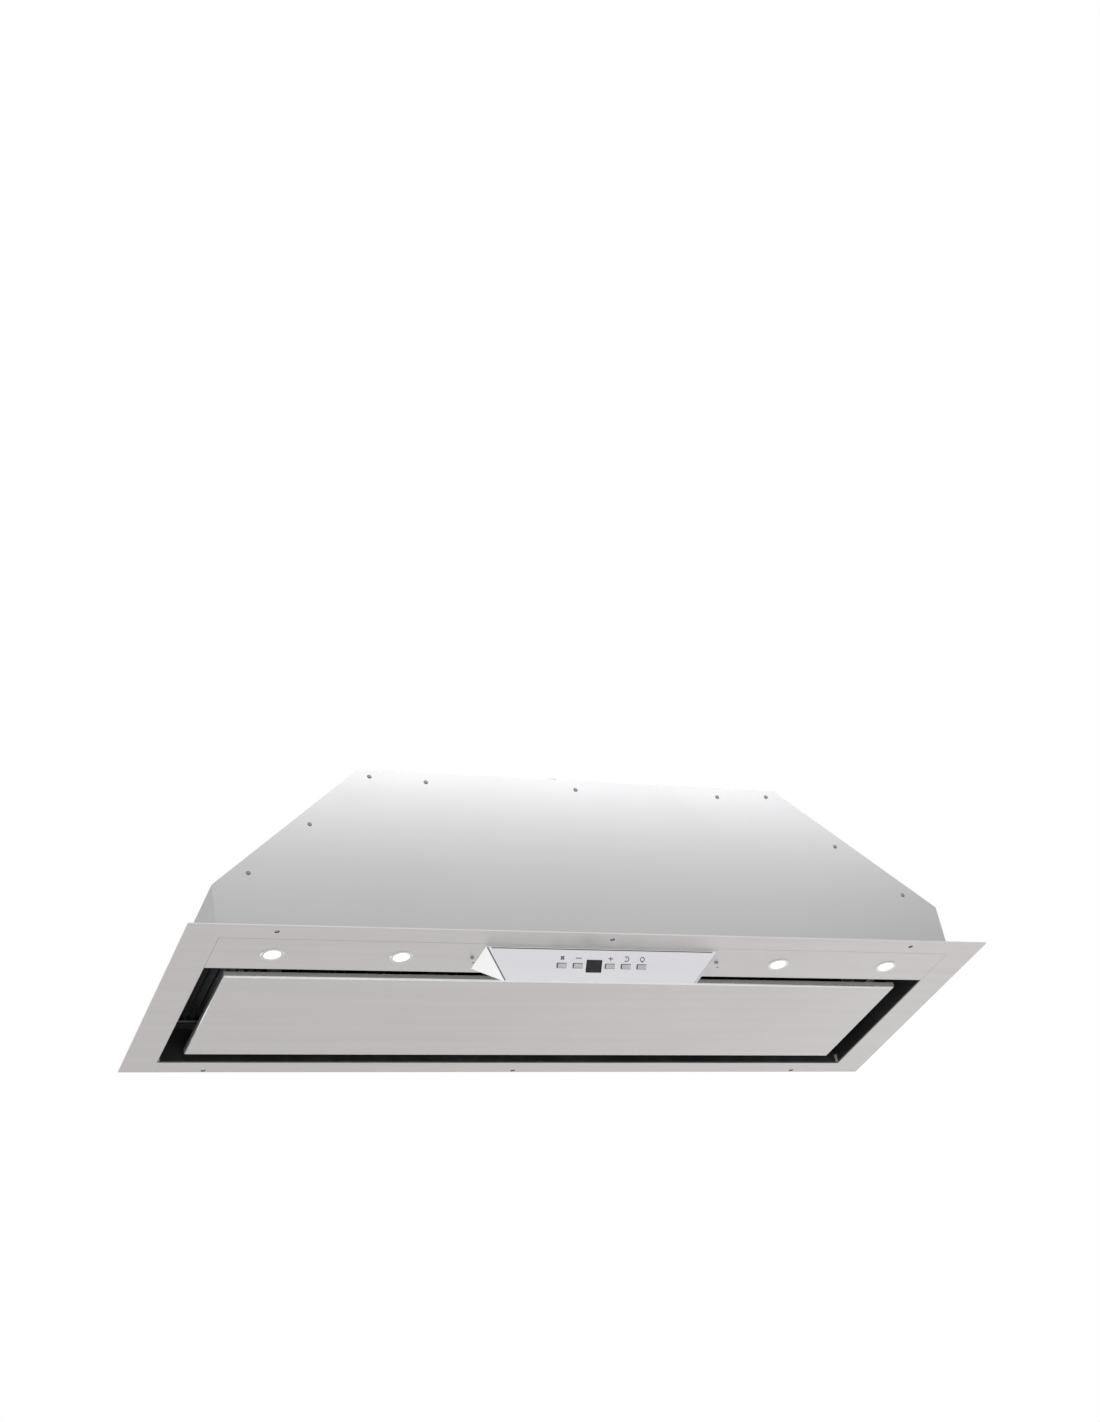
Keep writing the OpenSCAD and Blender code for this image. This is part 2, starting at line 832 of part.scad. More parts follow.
// A side plate with the inlet's hole, and the holes of the motor's three feet
module scroll_side(feet) {
    color(zinc)
    difference() {
        along_x(side_in, side_out) polygon(scroll_path(sheet_t));
        translate([side_in - cut, wheel_y, wheel_z]) rotate([0, 90, 0])
            cylinder(r = ring_r + ring_bend + ring_t + play, h = sheet_t + 2 * cut);
        for (y = hang_y)
            translate([side_in, y, hang_screw_z]) rotate([0, 90, 0]) screw_hole(sheet_t);
        if (feet)
            for (a = foot_angles)
                translate([side_in, wheel_y, wheel_z]) rotate([a, 0, 0])
                    translate([0, arm_r + arm_w / 2, 0]) rotate([0, 90, 0]) screw_hole(sheet_t);
    }
}

module scroll_side_left() { mirror([1, 0, 0]) scroll_side(true); }
module scroll_side_right() { scroll_side(false); }

// A bellmouth, whose flange lies on the side plate and whose throat runs in
module inlet_ring() {
    steps = 5;
    color(zinc)
    translate([side_out - ring_bend, wheel_y, wheel_z])
    about_x()
        polygon(concat(
            [[ring_flange_r, ring_bend], [ring_flange_r, ring_bend + ring_t]],
            [for (k = [0 : steps]) ring_bow(k * 90 / steps, ring_bend + ring_t)],
            [for (k = [steps : -1 : 0]) ring_bow(k * 90 / steps, ring_bend)]));
}
function ring_bow(a, r) = [ring_r + ring_bend + ring_t - r * sin(a), r * cos(a)];

module inlet_rings() {
    both_sides() inlet_ring();
}

// Angles that hang the scroll's side plates from the top plate
module blower_brackets() {
    color(zinc)
    both_sides()
    difference() {
        union() {
            block([side_out, hang_ends[0], top_under - hang_h],
                [side_out + hang_t, hang_ends[1], top_under]);
            block([side_out, hang_ends[0], top_under - hang_t],
                [side_out + hang_w, hang_ends[1], top_under]);
        }
        for (y = hang_y) {
            translate([side_out, y, hang_screw_z]) rotate([0, 90, 0]) screw_hole(hang_t);
            translate([side_out + hang_screw_x, y, top_under - hang_t]) screw_hole(hang_t);
        }
    }
}

module blower_screws() {
    color(zinc) {
        blower_top_places() mirror([0, 0, 1]) screw(sheet_t + hang_t + screw_end);
        both_sides()
            for (y = hang_y)
                translate([side_out + hang_t, y, hang_screw_z]) rotate([0, -90, 0])
                    screw(sheet_t + hang_t + screw_end);
        for (a = foot_angles)
            translate([-side_out - bracket_t, wheel_y, wheel_z]) rotate([a, 0, 0])
                translate([0, arm_r + arm_w / 2, 0]) rotate([0, 90, 0])
                    screw(sheet_t + bracket_t + screw_end);
    }
}

// One forward-curved blade, as an outline of Y and Z about the axis
function blade_point(k, side) = let (
    s = k / blade_steps,
    r = wheel_r - 0.5 - blade_depth * (1 - s),
    a = blade_lean * s * s + side * blade_t / 2 / r * 180 / PI)
    r * [cos(a), sin(a)];
module blade() {
    polygon(concat([for (k = [0 : blade_steps]) blade_point(k, -1)],
        [for (k = [blade_steps : -1 : 0]) blade_point(k, 1)]));
}

// Drum of blades between two rims, carried by a disc and a hub in the middle
module impeller() {
    rim_t = 2;
    disc_t = 1.5;
    half = wheel_w / 2;
    color(zinc)
    translate([0, wheel_y, wheel_z])
    difference() {
        union() {
            for (i = [0 : blade_n - 1])
                rotate([i * 360 / blade_n, 0, 0]) along_x(-half, half) blade();
            for (x = [-half, half - rim_t])
                translate([x, 0, 0]) about_x()
                    translate([wheel_r - blade_depth - 1, 0]) square([blade_depth + 1, rim_t]);
            translate([-disc_t / 2, 0, 0]) rotate([0, 90, 0]) cylinder(r = wheel_r, h = disc_t);
            translate([-disc_t / 2, 0, 0]) rotate([0, 90, 0]) cylinder(r = hub_r, h = hub_l);
        }
        translate([-hub_l, 0, 0]) rotate([0, 90, 0])
            cylinder(d = shaft_d + 2 * bore_play, h = 2 * hub_l + cut);
    }
}

// Runs from inside the motor through the impeller's hub
module motor_shaft() {
    from = motor_back + motor_boss + 1;
    color("silver")
    translate([from, wheel_y, wheel_z]) rotate([0, 90, 0])
        cylinder(d = shaft_d, h = hub_l + 4 - from);
}

// Drawn shell with stepped end bells and the bearing's boss
module motor() {
    r = motor_d / 2;
    bell_r = 0.86 * r;
    edge = 5;
    boss_r = shaft_d + 2;
    color(dark)
    translate([motor_back, wheel_y, wheel_z])
    difference() {
        about_x()
            polygon([[0, 0], [r / 2, 0], [bell_r, edge], [bell_r, bell_w],
                [r, bell_w + bell_step], [r, motor_l - bell_w - bell_step],
                [bell_r, motor_l - bell_w], [bell_r, motor_l - edge], [r / 2, motor_l],
                [boss_r + 1, motor_l], [boss_r, motor_l + motor_boss],
                [0, motor_l + motor_boss]]);
        translate([motor_boss, 0, 0]) rotate([0, 90, 0])
            cylinder(d = shaft_d + 2 * bore_play, h = motor_l + motor_boss);
    }
}

// A clamp ring round the motor, with three legs that stand on the side plate
module motor_bracket() {
    r = motor_d / 2;
    ring_x = motor_back + bell_w + 2 * bell_step;
    ring_w = 10;
    foot_x = -side_out;
    color(zinc)
    translate([0, wheel_y, wheel_z]) {
        translate([ring_x, 0, 0]) about_x()
            translate([r + bore_play, 0]) square([bracket_t, ring_w]);
        for (a = foot_angles)
            rotate([a, 0, 0])
            difference() {
                union() {
                    block([ring_x, r + 1, -arm_w / 2], [ring_x + bracket_t, arm_r, arm_w / 2]);
                    block([ring_x, arm_r - bracket_t, -arm_w / 2],
                        [foot_x, arm_r, arm_w / 2]);
                    block([foot_x - bracket_t, arm_r - bracket_t, -arm_w / 2],
                        [foot_x, arm_r + arm_w, arm_w / 2]);
                }
                translate([foot_x - bracket_t, arm_r + arm_w / 2, 0]) rotate([0, 90, 0])
                    screw_hole(bracket_t);
            }
    }
}

// Run capacitor, lying in a saddle on the tray
module motor_capacitor() {
    d = 35;
    l = 70;
    stud = 8;
    saddle_end = 12;
    saddle_t = 3;
    axis_z = d / 2 + 2;
    color("#d8d8d4")
    translate([-box_x[1] + l - 10, (box_y[0] + box_y[1]) / 2, tray_top]) {
        translate([0, 0, axis_z]) rotate([0, 90, 0]) {
            cylinder(d = d, h = l);
            translate([0, 0, -stud]) cylinder(d = stud, h = stud + cut);
        }
        difference() {
            block([saddle_end, -d / 2 - saddle_t, 0], [l - saddle_end, d / 2 + saddle_t, d / 2]);
            translate([0, 0, axis_z]) rotate([0, 90, 0]) cylinder(d = d - cut, h = l);
        }
    }
}

// Moulded box for the control electronics, standing on the tray's front
module electronics_box() {
    knockout_d = 10;
    post = box_post + 1;
    color(dark) {
        difference() {
            block([box_x[0], box_y[0], tray_top], [box_x[1], box_y[1], tray_top + box_h]);
            block([box_x[0] + box_wall, box_y[0] + box_wall, tray_top + box_wall],
                [box_x[1] - box_wall, box_y[1] - box_wall, tray_top + box_h + cut]);
            for (k = [-1, 0, 1])
                translate([box_x[1] - box_wall - cut,
                        (box_y[0] + box_y[1]) / 2 + k * 1.8 * knockout_d, tray_top + box_h / 2])
                    rotate([0, 90, 0]) cylinder(d = knockout_d, h = box_wall + 2 * cut);
        }
        for (x = [box_x[0] + post, box_x[1] - post], y = [box_y[0] + post, box_y[1] - post])
            translate([x, y, tray_top + box_wall / 2])
                cylinder(r = box_post, h = box_h - box_wall / 2);
    }
}

// Lid that laps over the box's walls, with stiffening ribs
module electronics_lid() {
    lap = 1;
    rib_w = 4;
    rib_h = 1.5;
    rib_end = 15;
    middle = (box_x[0] + box_x[1]) / 2;
    lid_top = tray_top + box_h + box_wall;
    color(dark) {
        block([box_x[0] - lap, box_y[0] - lap, tray_top + box_h],
            [box_x[1] + lap, box_y[1] + lap, lid_top]);
        for (k = [-2 : 2])
            translate([middle + k * 3.5 * rib_w, 0, lid_top])
                block([-rib_w / 2, box_y[0] + rib_end, -cut],
                    [rib_w / 2, box_y[1] - rib_end, rib_h]);
    }
}

// Screw terminals where the supply is joined
module terminal_block() {
    n = 5;
    pitch = 10;
    base_w = 22;
    base_h = 9;
    tower_w = 16;
    tower_h = 18;
    well_d = 4.6;
    well_z = 12;
    color("#e4e2dc")
    translate([box_x[1] + 2.5 * pitch, (box_y[0] + box_y[1]) / 2, tray_top])
    difference() {
        union() {
            block([0, -base_w / 2, 0], [n * pitch, base_w / 2, base_h]);
            for (i = [0 : n - 1])
                block([i * pitch + 1, -tower_w / 2, base_h - 1],
                    [(i + 1) * pitch - 1, tower_w / 2, tower_h]);
        }
        for (i = [0 : n - 1], side = [-1, 1])
            translate([(i + 0.5) * pitch, side * tower_w / 4, well_z])
                cylinder(d = well_d, h = tower_h - well_z + cut);
    }
}

// Gland through the top plate for the supply cable
module cable_gland() {
    nut_d = 27;
    nut_h = 6;
    cap_h = 14;
    cap_low_d = 24;
    cap_top_d = 17;
    thread_l = 9;
    color(dark)
    translate([gland_at[0], gland_at[1], casing_h])
    difference() {
        union() {
            cylinder(d = nut_d, h = nut_h, $fn = 6);
            translate([0, 0, nut_h]) cylinder(d1 = cap_low_d, d2 = cap_top_d, h = cap_h);
            translate([0, 0, -sheet_t - thread_l]) cylinder(d = gland_d, h = thread_l + sheet_t + 1);
            translate([0, 0, -sheet_t - nut_h]) cylinder(d = nut_d, h = nut_h, $fn = 6);
        }
        translate([0, 0, -sheet_t - thread_l - cut])
            cylinder(d = gland_bore, h = thread_l + sheet_t + nut_h + cap_h + 2 * cut);
    }
}

// Places on the housing's front face, with y down the face and z inwards
module on_face(x, s) {
    translate([0, ctrl_front, under]) rotate([-face_tilt, 0, 0])
        translate([x, s, 0]) children();
}

// A rectangle with rounded corners about the origin
module rounded(w, h, r) {
    square([w - 2 * r, h], center = true);
    square([w, h - 2 * r], center = true);
    for (x = [-1, 1], y = [-1, 1])
        translate([x * (w / 2 - r), y * (h / 2 - r)]) circle(r, $fn = 24);
}

// The hip roof turned upside down, set in by a wall and run up past its base
module hip(in, up) {
    half_d = ctrl_d / 2 - in * face_l / ctrl_h;
    half_w = ctrl_w / 2 - in * end_l / ctrl_h;
    h = ctrl_h * half_d / (ctrl_d / 2);
    tip = 0.6;
    run_d = half_d / h;
    run_w = ctrl_taper / ctrl_h;
    intersection() {
        translate([0, ctrl_mid, under]) along_x(-ctrl_w, ctrl_w)
            polygon([[-half_d - up * run_d, up], [half_d + up * run_d, up],
                [tip * run_d, tip - h], [-tip * run_d, tip - h]]);
        translate([0, ctrl_mid, under]) along_y(-ctrl_d, ctrl_d)
            polygon([[-half_w - up * run_w, up], [half_w + up * run_w, up],
                [half_w - h * run_w, -h], [h * run_w - half_w, -h]]);
    }
}

// The cover's wall, open towards the strip
module cover_shell() {
    difference() {
        hip(0, 0);
        hip(ctrl_wall, cut);
    }
}

// What lies beyond the joint between the cover and the cap at each end
module cap_zone(gap) {
    run = ctrl_taper / ctrl_h;
    joint = ctrl_w / 2 - ctrl_wall * end_l / ctrl_h - cap_rim - gap;
    low = -ctrl_h - cut;
    both_sides()
    translate([0, ctrl_mid, under])
    along_y(-ctrl_d, ctrl_d)
        polygon([[joint + cut * run, cut], [ctrl_w, cut], [ctrl_w, low],
            [joint + low * run, low]]);
}

// Slanted caps glued into the cover's ends
module control_caps() {
    color(white)
    intersection() {
        cover_shell();
        cap_zone(0);
    }
}

// Hollow cover with openings for the buttons and the display, posts for the
// board and bosses for the screws
module control_housing() {
    post_r = 3;
    boss_r = 4;
    hole_l = 10;
    color(cover)
    difference() {
        union() {
            cover_shell();
            intersection() {
                hip(ctrl_wall / 2, 0);
                union() {
                    for (x = post_x)
                        on_face(x, post_s) cylinder(r = post_r, h = board_depth);
                    for (x = [-control_screw_x, control_screw_x])
                        translate([x, ctrl_mid, under - ctrl_h]) cylinder(r = boss_r, h = ctrl_h);
                }
            }
        }
        for (x = [-control_screw_x, control_screw_x])
            translate([x, ctrl_mid, under - hole_l])
                cylinder(d = screw_d + 2 * bore_play, h = hole_l + cut);
        for (x = button_x)
            on_face(x, button_s) translate([0, 0, -cut])
                linear_extrude(ctrl_wall + 2 * cut)
                    rounded(button_w + 2 * play, button_h + 2 * play, 1 + play);
        on_face(display_x, display_s) translate([0, 0, -cut])
            linear_extrude(ctrl_wall + 2 * cut)
                rounded(display_w + 2 * play, display_h + 2 * play, 1 + play);
        cap_zone(glue_gap);
    }
}

// Board with a switch behind each button and the display's module
module control_board() {
    switch_w = 6;
    color("#3f6b45") {
        on_face(0, 0)
            block([board_x - board_w / 2, board_s[0], board_depth],
                [board_x + board_w / 2, board_s[1], board_depth + board_t]);
        for (x = button_x)
            on_face(x, button_s)
                block([-switch_w / 2, -switch_w / 2, board_depth - switch_h],
                    [switch_w / 2, switch_w / 2, board_depth + board_t / 2]);
        on_face(display_x, display_s)
            block([2 - display_w / 2, 2 - display_h / 2, ctrl_wall + display_flange + play],
                [display_w / 2 - 2, display_h / 2 - 2, board_depth + board_t / 2]);
    }
}

// Pane flush with the face, with a flange glued behind the wall
module display_window() {
    recess = 0.15;
    color(dark)
    on_face(display_x, display_s) {
        translate([0, 0, recess]) linear_extrude(ctrl_wall - recess + display_flange)
            rounded(display_w, display_h, 1);
        translate([0, 0, ctrl_wall + glue_gap]) linear_extrude(display_flange - glue_gap)
            rounded(display_w + 3, display_h + 3, 1);
    }
}

// Cap, flange behind the wall and stem towards the switch
module button(x) {
    rest = play / 2;
    stem = board_depth - switch_h - ctrl_wall - rest - button_flange - button_travel - play;
    flange_z = ctrl_wall + rest;
    color("silver")
    on_face(x, button_s) {
        translate([0, 0, -button_proud])
            linear_extrude(button_proud + flange_z + button_flange)
                rounded(button_w, button_h, 1);
        translate([0, 0, flange_z]) linear_extrude(button_flange)
            rounded(button_w + 2.4, button_h + 2.4, 1);
        translate([0, 0, flange_z]) cylinder(r = 2, h = button_flange + stem);
    }
}

module button_fan() { button(button_x[0]); }
module button_minus() { button(button_x[1]); }
module button_plus() { button(button_x[2]); }
module button_timer() { button(button_x[3]); }
module button_lamp() { button(button_x[4]); }

module lamp_places() {
    for (x = lamp_x) translate([x, lamp_y, 0]) children();
}

// Ring with the tube that passes through the strip and the ledge under the lens
module lamp_bezels() {
    r = lens_d / 2;
    low = under - bezel_proud;
    color("#d8d8d8")
    lamp_places()
    rotate_extrude()
        polygon([[r - ledge_w, low], [r + bezel_w - ledge_t, low], [r + bezel_w, low + ledge_t],
            [r + bezel_w, under], [bezel_tube_r, under], [bezel_tube_r, tube_top],
            [r + lens_gap, tube_top], [r + lens_gap, low + ledge_t], [r - ledge_w, low + ledge_t]]);
}

module lamp_lenses() {
    color("#fdfdf6")
    lamp_places()
    translate([0, 0, under - bezel_proud + ledge_t]) cylinder(d = lens_d, h = lens_t);
}

// Light source with cooling fins, and two clips that bear on the strip
module lamp_modules() {
    fin_n = 4;
    fin_t = 2;
    r = bezel_tube_r + 2;
    fin_z = tube_top + 3;
    pitch = (lamp_h - 8) / fin_n;
    clip_reach = 13;
    color(zinc)
    lamp_places() {
        rotate_extrude()
            polygon(concat([[0, tube_top - 4], [lens_d / 2 - 2, tube_top - 4],
                    [lens_d / 2 - 2, tube_top], [bezel_tube_r, tube_top],
                    [bezel_tube_r, fin_z]],
                [for (k = [0 : fin_n - 1]) each [[r, fin_z + k * pitch],
                    [r, fin_z + k * pitch + fin_t],
                    [r - 5, fin_z + k * pitch + fin_t], [r - 5, fin_z + (k + 1) * pitch]]],
                [[0, fin_z + fin_n * pitch]]));
        both_sides()
            along_y(-4, 4)
                polygon([[bezel_tube_r - 1, tube_top + 1], [bezel_tube_r + 6, tube_top + 1],
                    [bezel_tube_r + clip_reach, strip_top + play],
                    [bezel_tube_r + clip_reach + 1.2, strip_top + play],
                    [bezel_tube_r + 6.6, tube_top + 2], [bezel_tube_r - 1, tube_top + 2]]);
    }
}

// Pan with returned edges and two hat sections inside
module suction_panel() {
    x = panel_x;
    top = under + panel_fold;
    hat_h = panel_fold - 2 * sheet_t - 1;
    hat_top = 8;
    hat_foot = 11;
    hat_brim = 18;
    hat_t = 1;
    hat_inset = 70;
    hat_end = 30;
    color(steel) {
        difference() {
            block([-x, panel_front, under], [x, panel_rear, top]);
            block([sheet_t - x, panel_front + sheet_t, panel_in],
                [x - sheet_t, panel_rear - sheet_t, top - sheet_t]);
            block([sheet_t + panel_return - x, panel_front + sheet_t + panel_return, panel_in],
                [x - sheet_t - panel_return, panel_rear - sheet_t - panel_return, top + cut]);
        }
        for (y = [panel_front + hat_inset, panel_rear - hat_inset])
            translate([0, y, panel_in]) along_x(hat_end - x, x - hat_end)
                polygon([[-hat_brim, 0], [hat_brim, 0], [hat_brim, hat_t], [hat_foot, hat_t],
                    [hat_top, hat_h], [-hat_top, hat_h], [-hat_foot, hat_t], [-hat_brim, hat_t]]);
    }
}

// Knee brackets on the panel, with the eye that turns on the pin
module panel_hinge_arms() {
    color(zinc)
    both_sides()
    difference() {
        union() {
            along_x(hinge_x - arm_t / 2, hinge_x + arm_t / 2) {
                translate([pivot_y, pivot_z]) circle(hinge_r);
                polygon([[pivot_y - arm_foot, panel_in], [pivot_y - 2, panel_in],
                    [pivot_y + hinge_r, pivot_z],
                    [pivot_y - 0.6 * hinge_r, pivot_z + 0.8 * hinge_r]]);
            }
            block([hinge_x - arm_t / 2 - 12, pivot_y - arm_foot, panel_in],
                [hinge_x + arm_t / 2, pivot_y - 2, panel_in + arm_t]);
        }
        translate([hinge_x - arm_t, pivot_y, pivot_z]) rotate([0, 90, 0])
            cylinder(d = pin_d + 2 * bore_play, h = 2 * arm_t);
    }
}

// Forks that hang from the rear wall above the panel's sweep
module hinge_brackets() {
    top = rail_z - play;
    out = arm_t / 2 + ear_gap + ear_t;
    foot = 12;
    color(zinc)
    both_sides()
    difference() {
        union() {
            for (x = [hinge_x - out, hinge_x + out - ear_t])
                along_x(x, x + ear_t) {
                    translate([pivot_y, pivot_z]) circle(hinge_r);
                    polygon([[pivot_y - hinge_r, pivot_z], [pivot_y + hinge_r, pivot_z],
                        [pivot_y + hinge_r, ear_z], [wall_rear_in, ear_z],
                        [wall_rear_in, top], [pivot_y - hinge_r, top]]);
                }
            block([hinge_x - out, pivot_y - hinge_r, top - ear_t],
                [hinge_x + out, wall_rear_in, top]);
            block([hinge_x - out - foot, wall_rear_in - ear_t, ear_z],
                [hinge_x + out + foot, wall_rear_in, top]);
        }
        translate([hinge_x - out - cut, pivot_y, pivot_z]) rotate([0, 90, 0])
            cylinder(d = pin_d + 2 * bore_play, h = 2 * (out + cut));
    }
}

module hinge_pins() {
    out = arm_t / 2 + ear_gap + ear_t;
    head_t = 1.5;
    color("silver")
    both_sides()
    translate([hinge_x - out - head_t, pivot_y, pivot_z]) rotate([0, 90, 0]) {
        cylinder(d = pin_d + 3, h = head_t);
        cylinder(d = pin_d, h = 2 * out + 2 * head_t);
    }
}

// Magnets under angles on the front wall
module panel_catches() {
    angle_t = 1.5;
    half = catch_w / 2;
    rim = 3;
    plate_z = catch_z + magnet_h;
    color(dark)
    both_sides()
    translate([hinge_x, 0, 0]) {
        block([-half, wall_front_in, plate_z],
            [half, catch_y + magnet_d / 2 + 2, plate_z + angle_t]);
        block([-half, wall_front_in, plate_z], [half, wall_front_in + angle_t, rail_z - play]);
        block([rim - half, catch_y - magnet_d / 2, catch_z],
            [half - rim, catch_y + magnet_d / 2, plate_z]);
    }
}

// Steel stirrups on the panel that the magnets hold
module panel_strikes() {
    t = 1.5;
    back = strike_d / 2;
    top = catch_z - play;
    color(zinc)
    both_sides()
    translate([hinge_x, catch_y, 0])
    along_x(-strike_w / 2, strike_w / 2)
        polygon([[-back, panel_in], [back, panel_in], [back, panel_in + t],
            [t - back, panel_in + t], [t - back, top - t], [magnet_d / 2, top - t],
            [magnet_d / 2, top], [-back, top]]);
}

faceplate();
light_strip();
strip_brackets();
strip_screws();
front_wall();
rear_wall();
end_walls();
filter_tray();
filter_rails();
filter_frame_left();
filter_frame_middle();
filter_frame_right();
filter_meshes();
filter_latch_left();
filter_latch_middle();
filter_latch_right();
casing_front();
casing_rear();
casing_end_left();
casing_end_right();
casing_top();
casing_rivets();
duct_collar();
collar_screws();
damper_spindle();
damper_flap_front();
damper_flap_rear();
scroll_wrap();
scroll_side_left();
scroll_side_right();
inlet_rings();
blower_brackets();
blower_screws();
impeller();
motor_shaft();
motor();
motor_bracket();
motor_capacitor();
electronics_box();
electronics_lid();
terminal_block();
cable_gland();
control_housing();
control_caps();
control_board();
display_window();
button_fan();
button_minus();
button_plus();
button_timer();
button_lamp();
lamp_bezels();
lamp_lenses();
lamp_modules();
suction_panel();
panel_hinge_arms();
panel_strikes();
hinge_brackets();
hinge_pins();
panel_catches();
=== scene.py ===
"""Looks of a built-in range hood, seen from below: finishes, printed signs, lamps and stage."""
import json
import math

import bmesh
import bpy
from bpy.props import FloatProperty, FloatVectorProperty, PointerProperty
from mathutils import Matrix, Vector


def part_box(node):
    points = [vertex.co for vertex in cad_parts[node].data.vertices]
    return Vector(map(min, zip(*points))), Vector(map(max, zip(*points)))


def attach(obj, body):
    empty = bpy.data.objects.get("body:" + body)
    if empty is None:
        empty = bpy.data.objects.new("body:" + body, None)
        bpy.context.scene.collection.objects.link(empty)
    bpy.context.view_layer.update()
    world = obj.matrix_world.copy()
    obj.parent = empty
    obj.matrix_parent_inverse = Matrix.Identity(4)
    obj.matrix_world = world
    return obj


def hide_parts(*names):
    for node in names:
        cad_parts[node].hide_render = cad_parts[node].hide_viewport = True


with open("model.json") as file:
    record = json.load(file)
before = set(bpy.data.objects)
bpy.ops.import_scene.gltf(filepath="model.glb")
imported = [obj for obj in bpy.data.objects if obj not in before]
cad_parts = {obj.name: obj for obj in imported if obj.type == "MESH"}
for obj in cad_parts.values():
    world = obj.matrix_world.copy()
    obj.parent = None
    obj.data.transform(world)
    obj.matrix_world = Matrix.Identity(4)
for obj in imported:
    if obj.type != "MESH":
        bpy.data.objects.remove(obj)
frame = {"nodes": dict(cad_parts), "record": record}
NODES = frame["nodes"]

bl_info = {
    "name": "Built-in Range Hood",
    "version": (1, 0, 0),
    "blender": (4, 5, 0),
    "location": "View3D > Sidebar > Range Hood",
    "description": "Dresses the hood's sheets, controls, lamps and filters and lights them",
    "category": "Object",
}

MM = 0.001
# Distance of the inner lamps from the middle
LAMP_NEAR = 279 * MM
# How far the brushing's colour swings to each side, for a contrast of one
GRAIN_SWING = 2.4
# Fixing holes: along the hood, in from its front and rear edges, and a hair under the radius
HOLE_SPACING = 462.5 * MM
HOLE_FROM_FRONT = 15.5 * MM
HOLE_FROM_REAR = 5.5 * MM
HOLE_RADIUS = 2.49 * MM
SHEET = 1.5 * MM
# Half the width of the screws' heads, and the crosses laid on them
SCREW_HEAD = 2.8 * MM
STRIP_CROSS = 3.6 * MM
COLLAR_CROSS = 3.0 * MM
CROSS_DEPTH = 0.03 * MM
# The cover's faces would meet this far below its rounded ridge
RIDGE_ROUND = 0.6 * MM
# Half the floor's side, and as far as the camera sees
FLOOR_HALF = 60.0

# Camera solved from the faceplate's four corners in a frame of 1100 x 1422 pixels
CAMERA_AT = Vector((-1.2635, -2.6047, -1.3673))
CAMERA_RIGHT = Vector((0.920731, -0.350533, -0.171409))
CAMERA_DOWN = Vector((0.060275, 0.561785, -0.825085))
CAMERA_AHEAD = Vector((0.385515, 0.74935, 0.538381))
FOCAL_PIXELS = 2272.8
FRAME_HEIGHT = 1422
SENSOR = 36.0


def linear(code):
    """A colour given as 0 to 255 in the photograph's code values, as linear light."""
    def one(v):
        v /= 255
        return v / 12.92 if v <= 0.04045 else ((v + 0.055) / 1.055) ** 2.4
    return tuple(one(v) for v in code)


# Sizes and colours that a user would change

class HoodFinish(bpy.types.PropertyGroup):
    """Colours and grain of the hood's surfaces"""
    steel: FloatVectorProperty(
        name="Brushed steel", description="Colour of the faceplate, strip and panel",
        subtype="COLOR", size=3, min=0, max=1, default=linear((199, 196, 195)))
    casing: FloatVectorProperty(
        name="Casing steel", description="Colour of the casing's sheets",
        subtype="COLOR", size=3, min=0, max=1, default=linear((167, 167, 168)))
    cover: FloatVectorProperty(
        name="Control cover", description="Colour of the control housing",
        subtype="COLOR", size=3, min=0, max=1, default=linear((235, 234, 238)))
    cap: FloatVectorProperty(
        name="End caps", description="Colour of the caps in the control housing's ends",
        subtype="COLOR", size=3, min=0, max=1, default=linear((255, 254, 255)))
    interior: FloatVectorProperty(
        name="Interior", description="Colour of the black inner walls",
        subtype="COLOR", size=3, min=0, max=1, default=linear((43, 42, 43)))
    bend_radius: FloatProperty(
        name="Bend radius", description="Outer radius of the panel's bends",
        default=2.3 * MM, min=0.2 * MM, max=3 * MM, unit="LENGTH")
    grain_pitch: FloatProperty(
        name="Grain pitch", description="Distance between the brushing's strokes",
        default=0.9 * MM, min=0.1 * MM, max=5 * MM, unit="LENGTH")
    lamp_colour: FloatVectorProperty(
        name="Lamp light", description="Colour of the lit lenses",
        subtype="COLOR", size=3, min=0, max=1, default=(1.0, 0.97, 0.90))
    lamp_power: FloatProperty(
        name="Lamp glow", description="Brightness of the lit lenses",
        default=2.6, min=0, max=40)


class HoodStage(bpy.types.PropertyGroup):
    """Floor, light and camera"""
    floor_drop: FloatProperty(
        name="Floor below", description="Height of the faceplate above the floor",
        default=1.65, min=0.5, max=3, unit="LENGTH")
    fill: FloatProperty(
        name="Surrounding light", description="Strength of the even light from all round",
        default=0.92, min=0, max=2)
    front_power: FloatProperty(
        name="Front lamp", description="Power of the long lamp before the casing's top edge",
        default=3.8, min=0, max=200, unit="POWER")
    side_power: FloatProperty(
        name="Side lamp", description="Power of the lamp over the floor on the right",
        default=12.0, min=0, max=200, unit="POWER")
    card_power: FloatProperty(
        name="Card", description="Power of the card that the control cover's left end mirrors",
        default=8.0, min=0, max=200, unit="POWER")


def finish_values():
    return bpy.context.scene.hood_finish


def stage_values():
    return bpy.context.scene.hood_stage


# Shader building blocks

def socket(group, name, kind, out=False, default=None):
    """A group's input or output."""
    made = group.interface.new_socket(
        name=name, in_out="OUTPUT" if out else "INPUT", socket_type=kind)
    if default is not None:
        made.default_value = default
    return made


def new_group(name):
    """An empty node group and its two ends."""
    group = bpy.data.node_groups.new(name, "ShaderNodeTree")
    start = group.nodes.new("NodeGroupInput")
    end = group.nodes.new("NodeGroupOutput")
    start.location, end.location = (-900, 0), (600, 0)
    return group, start, end


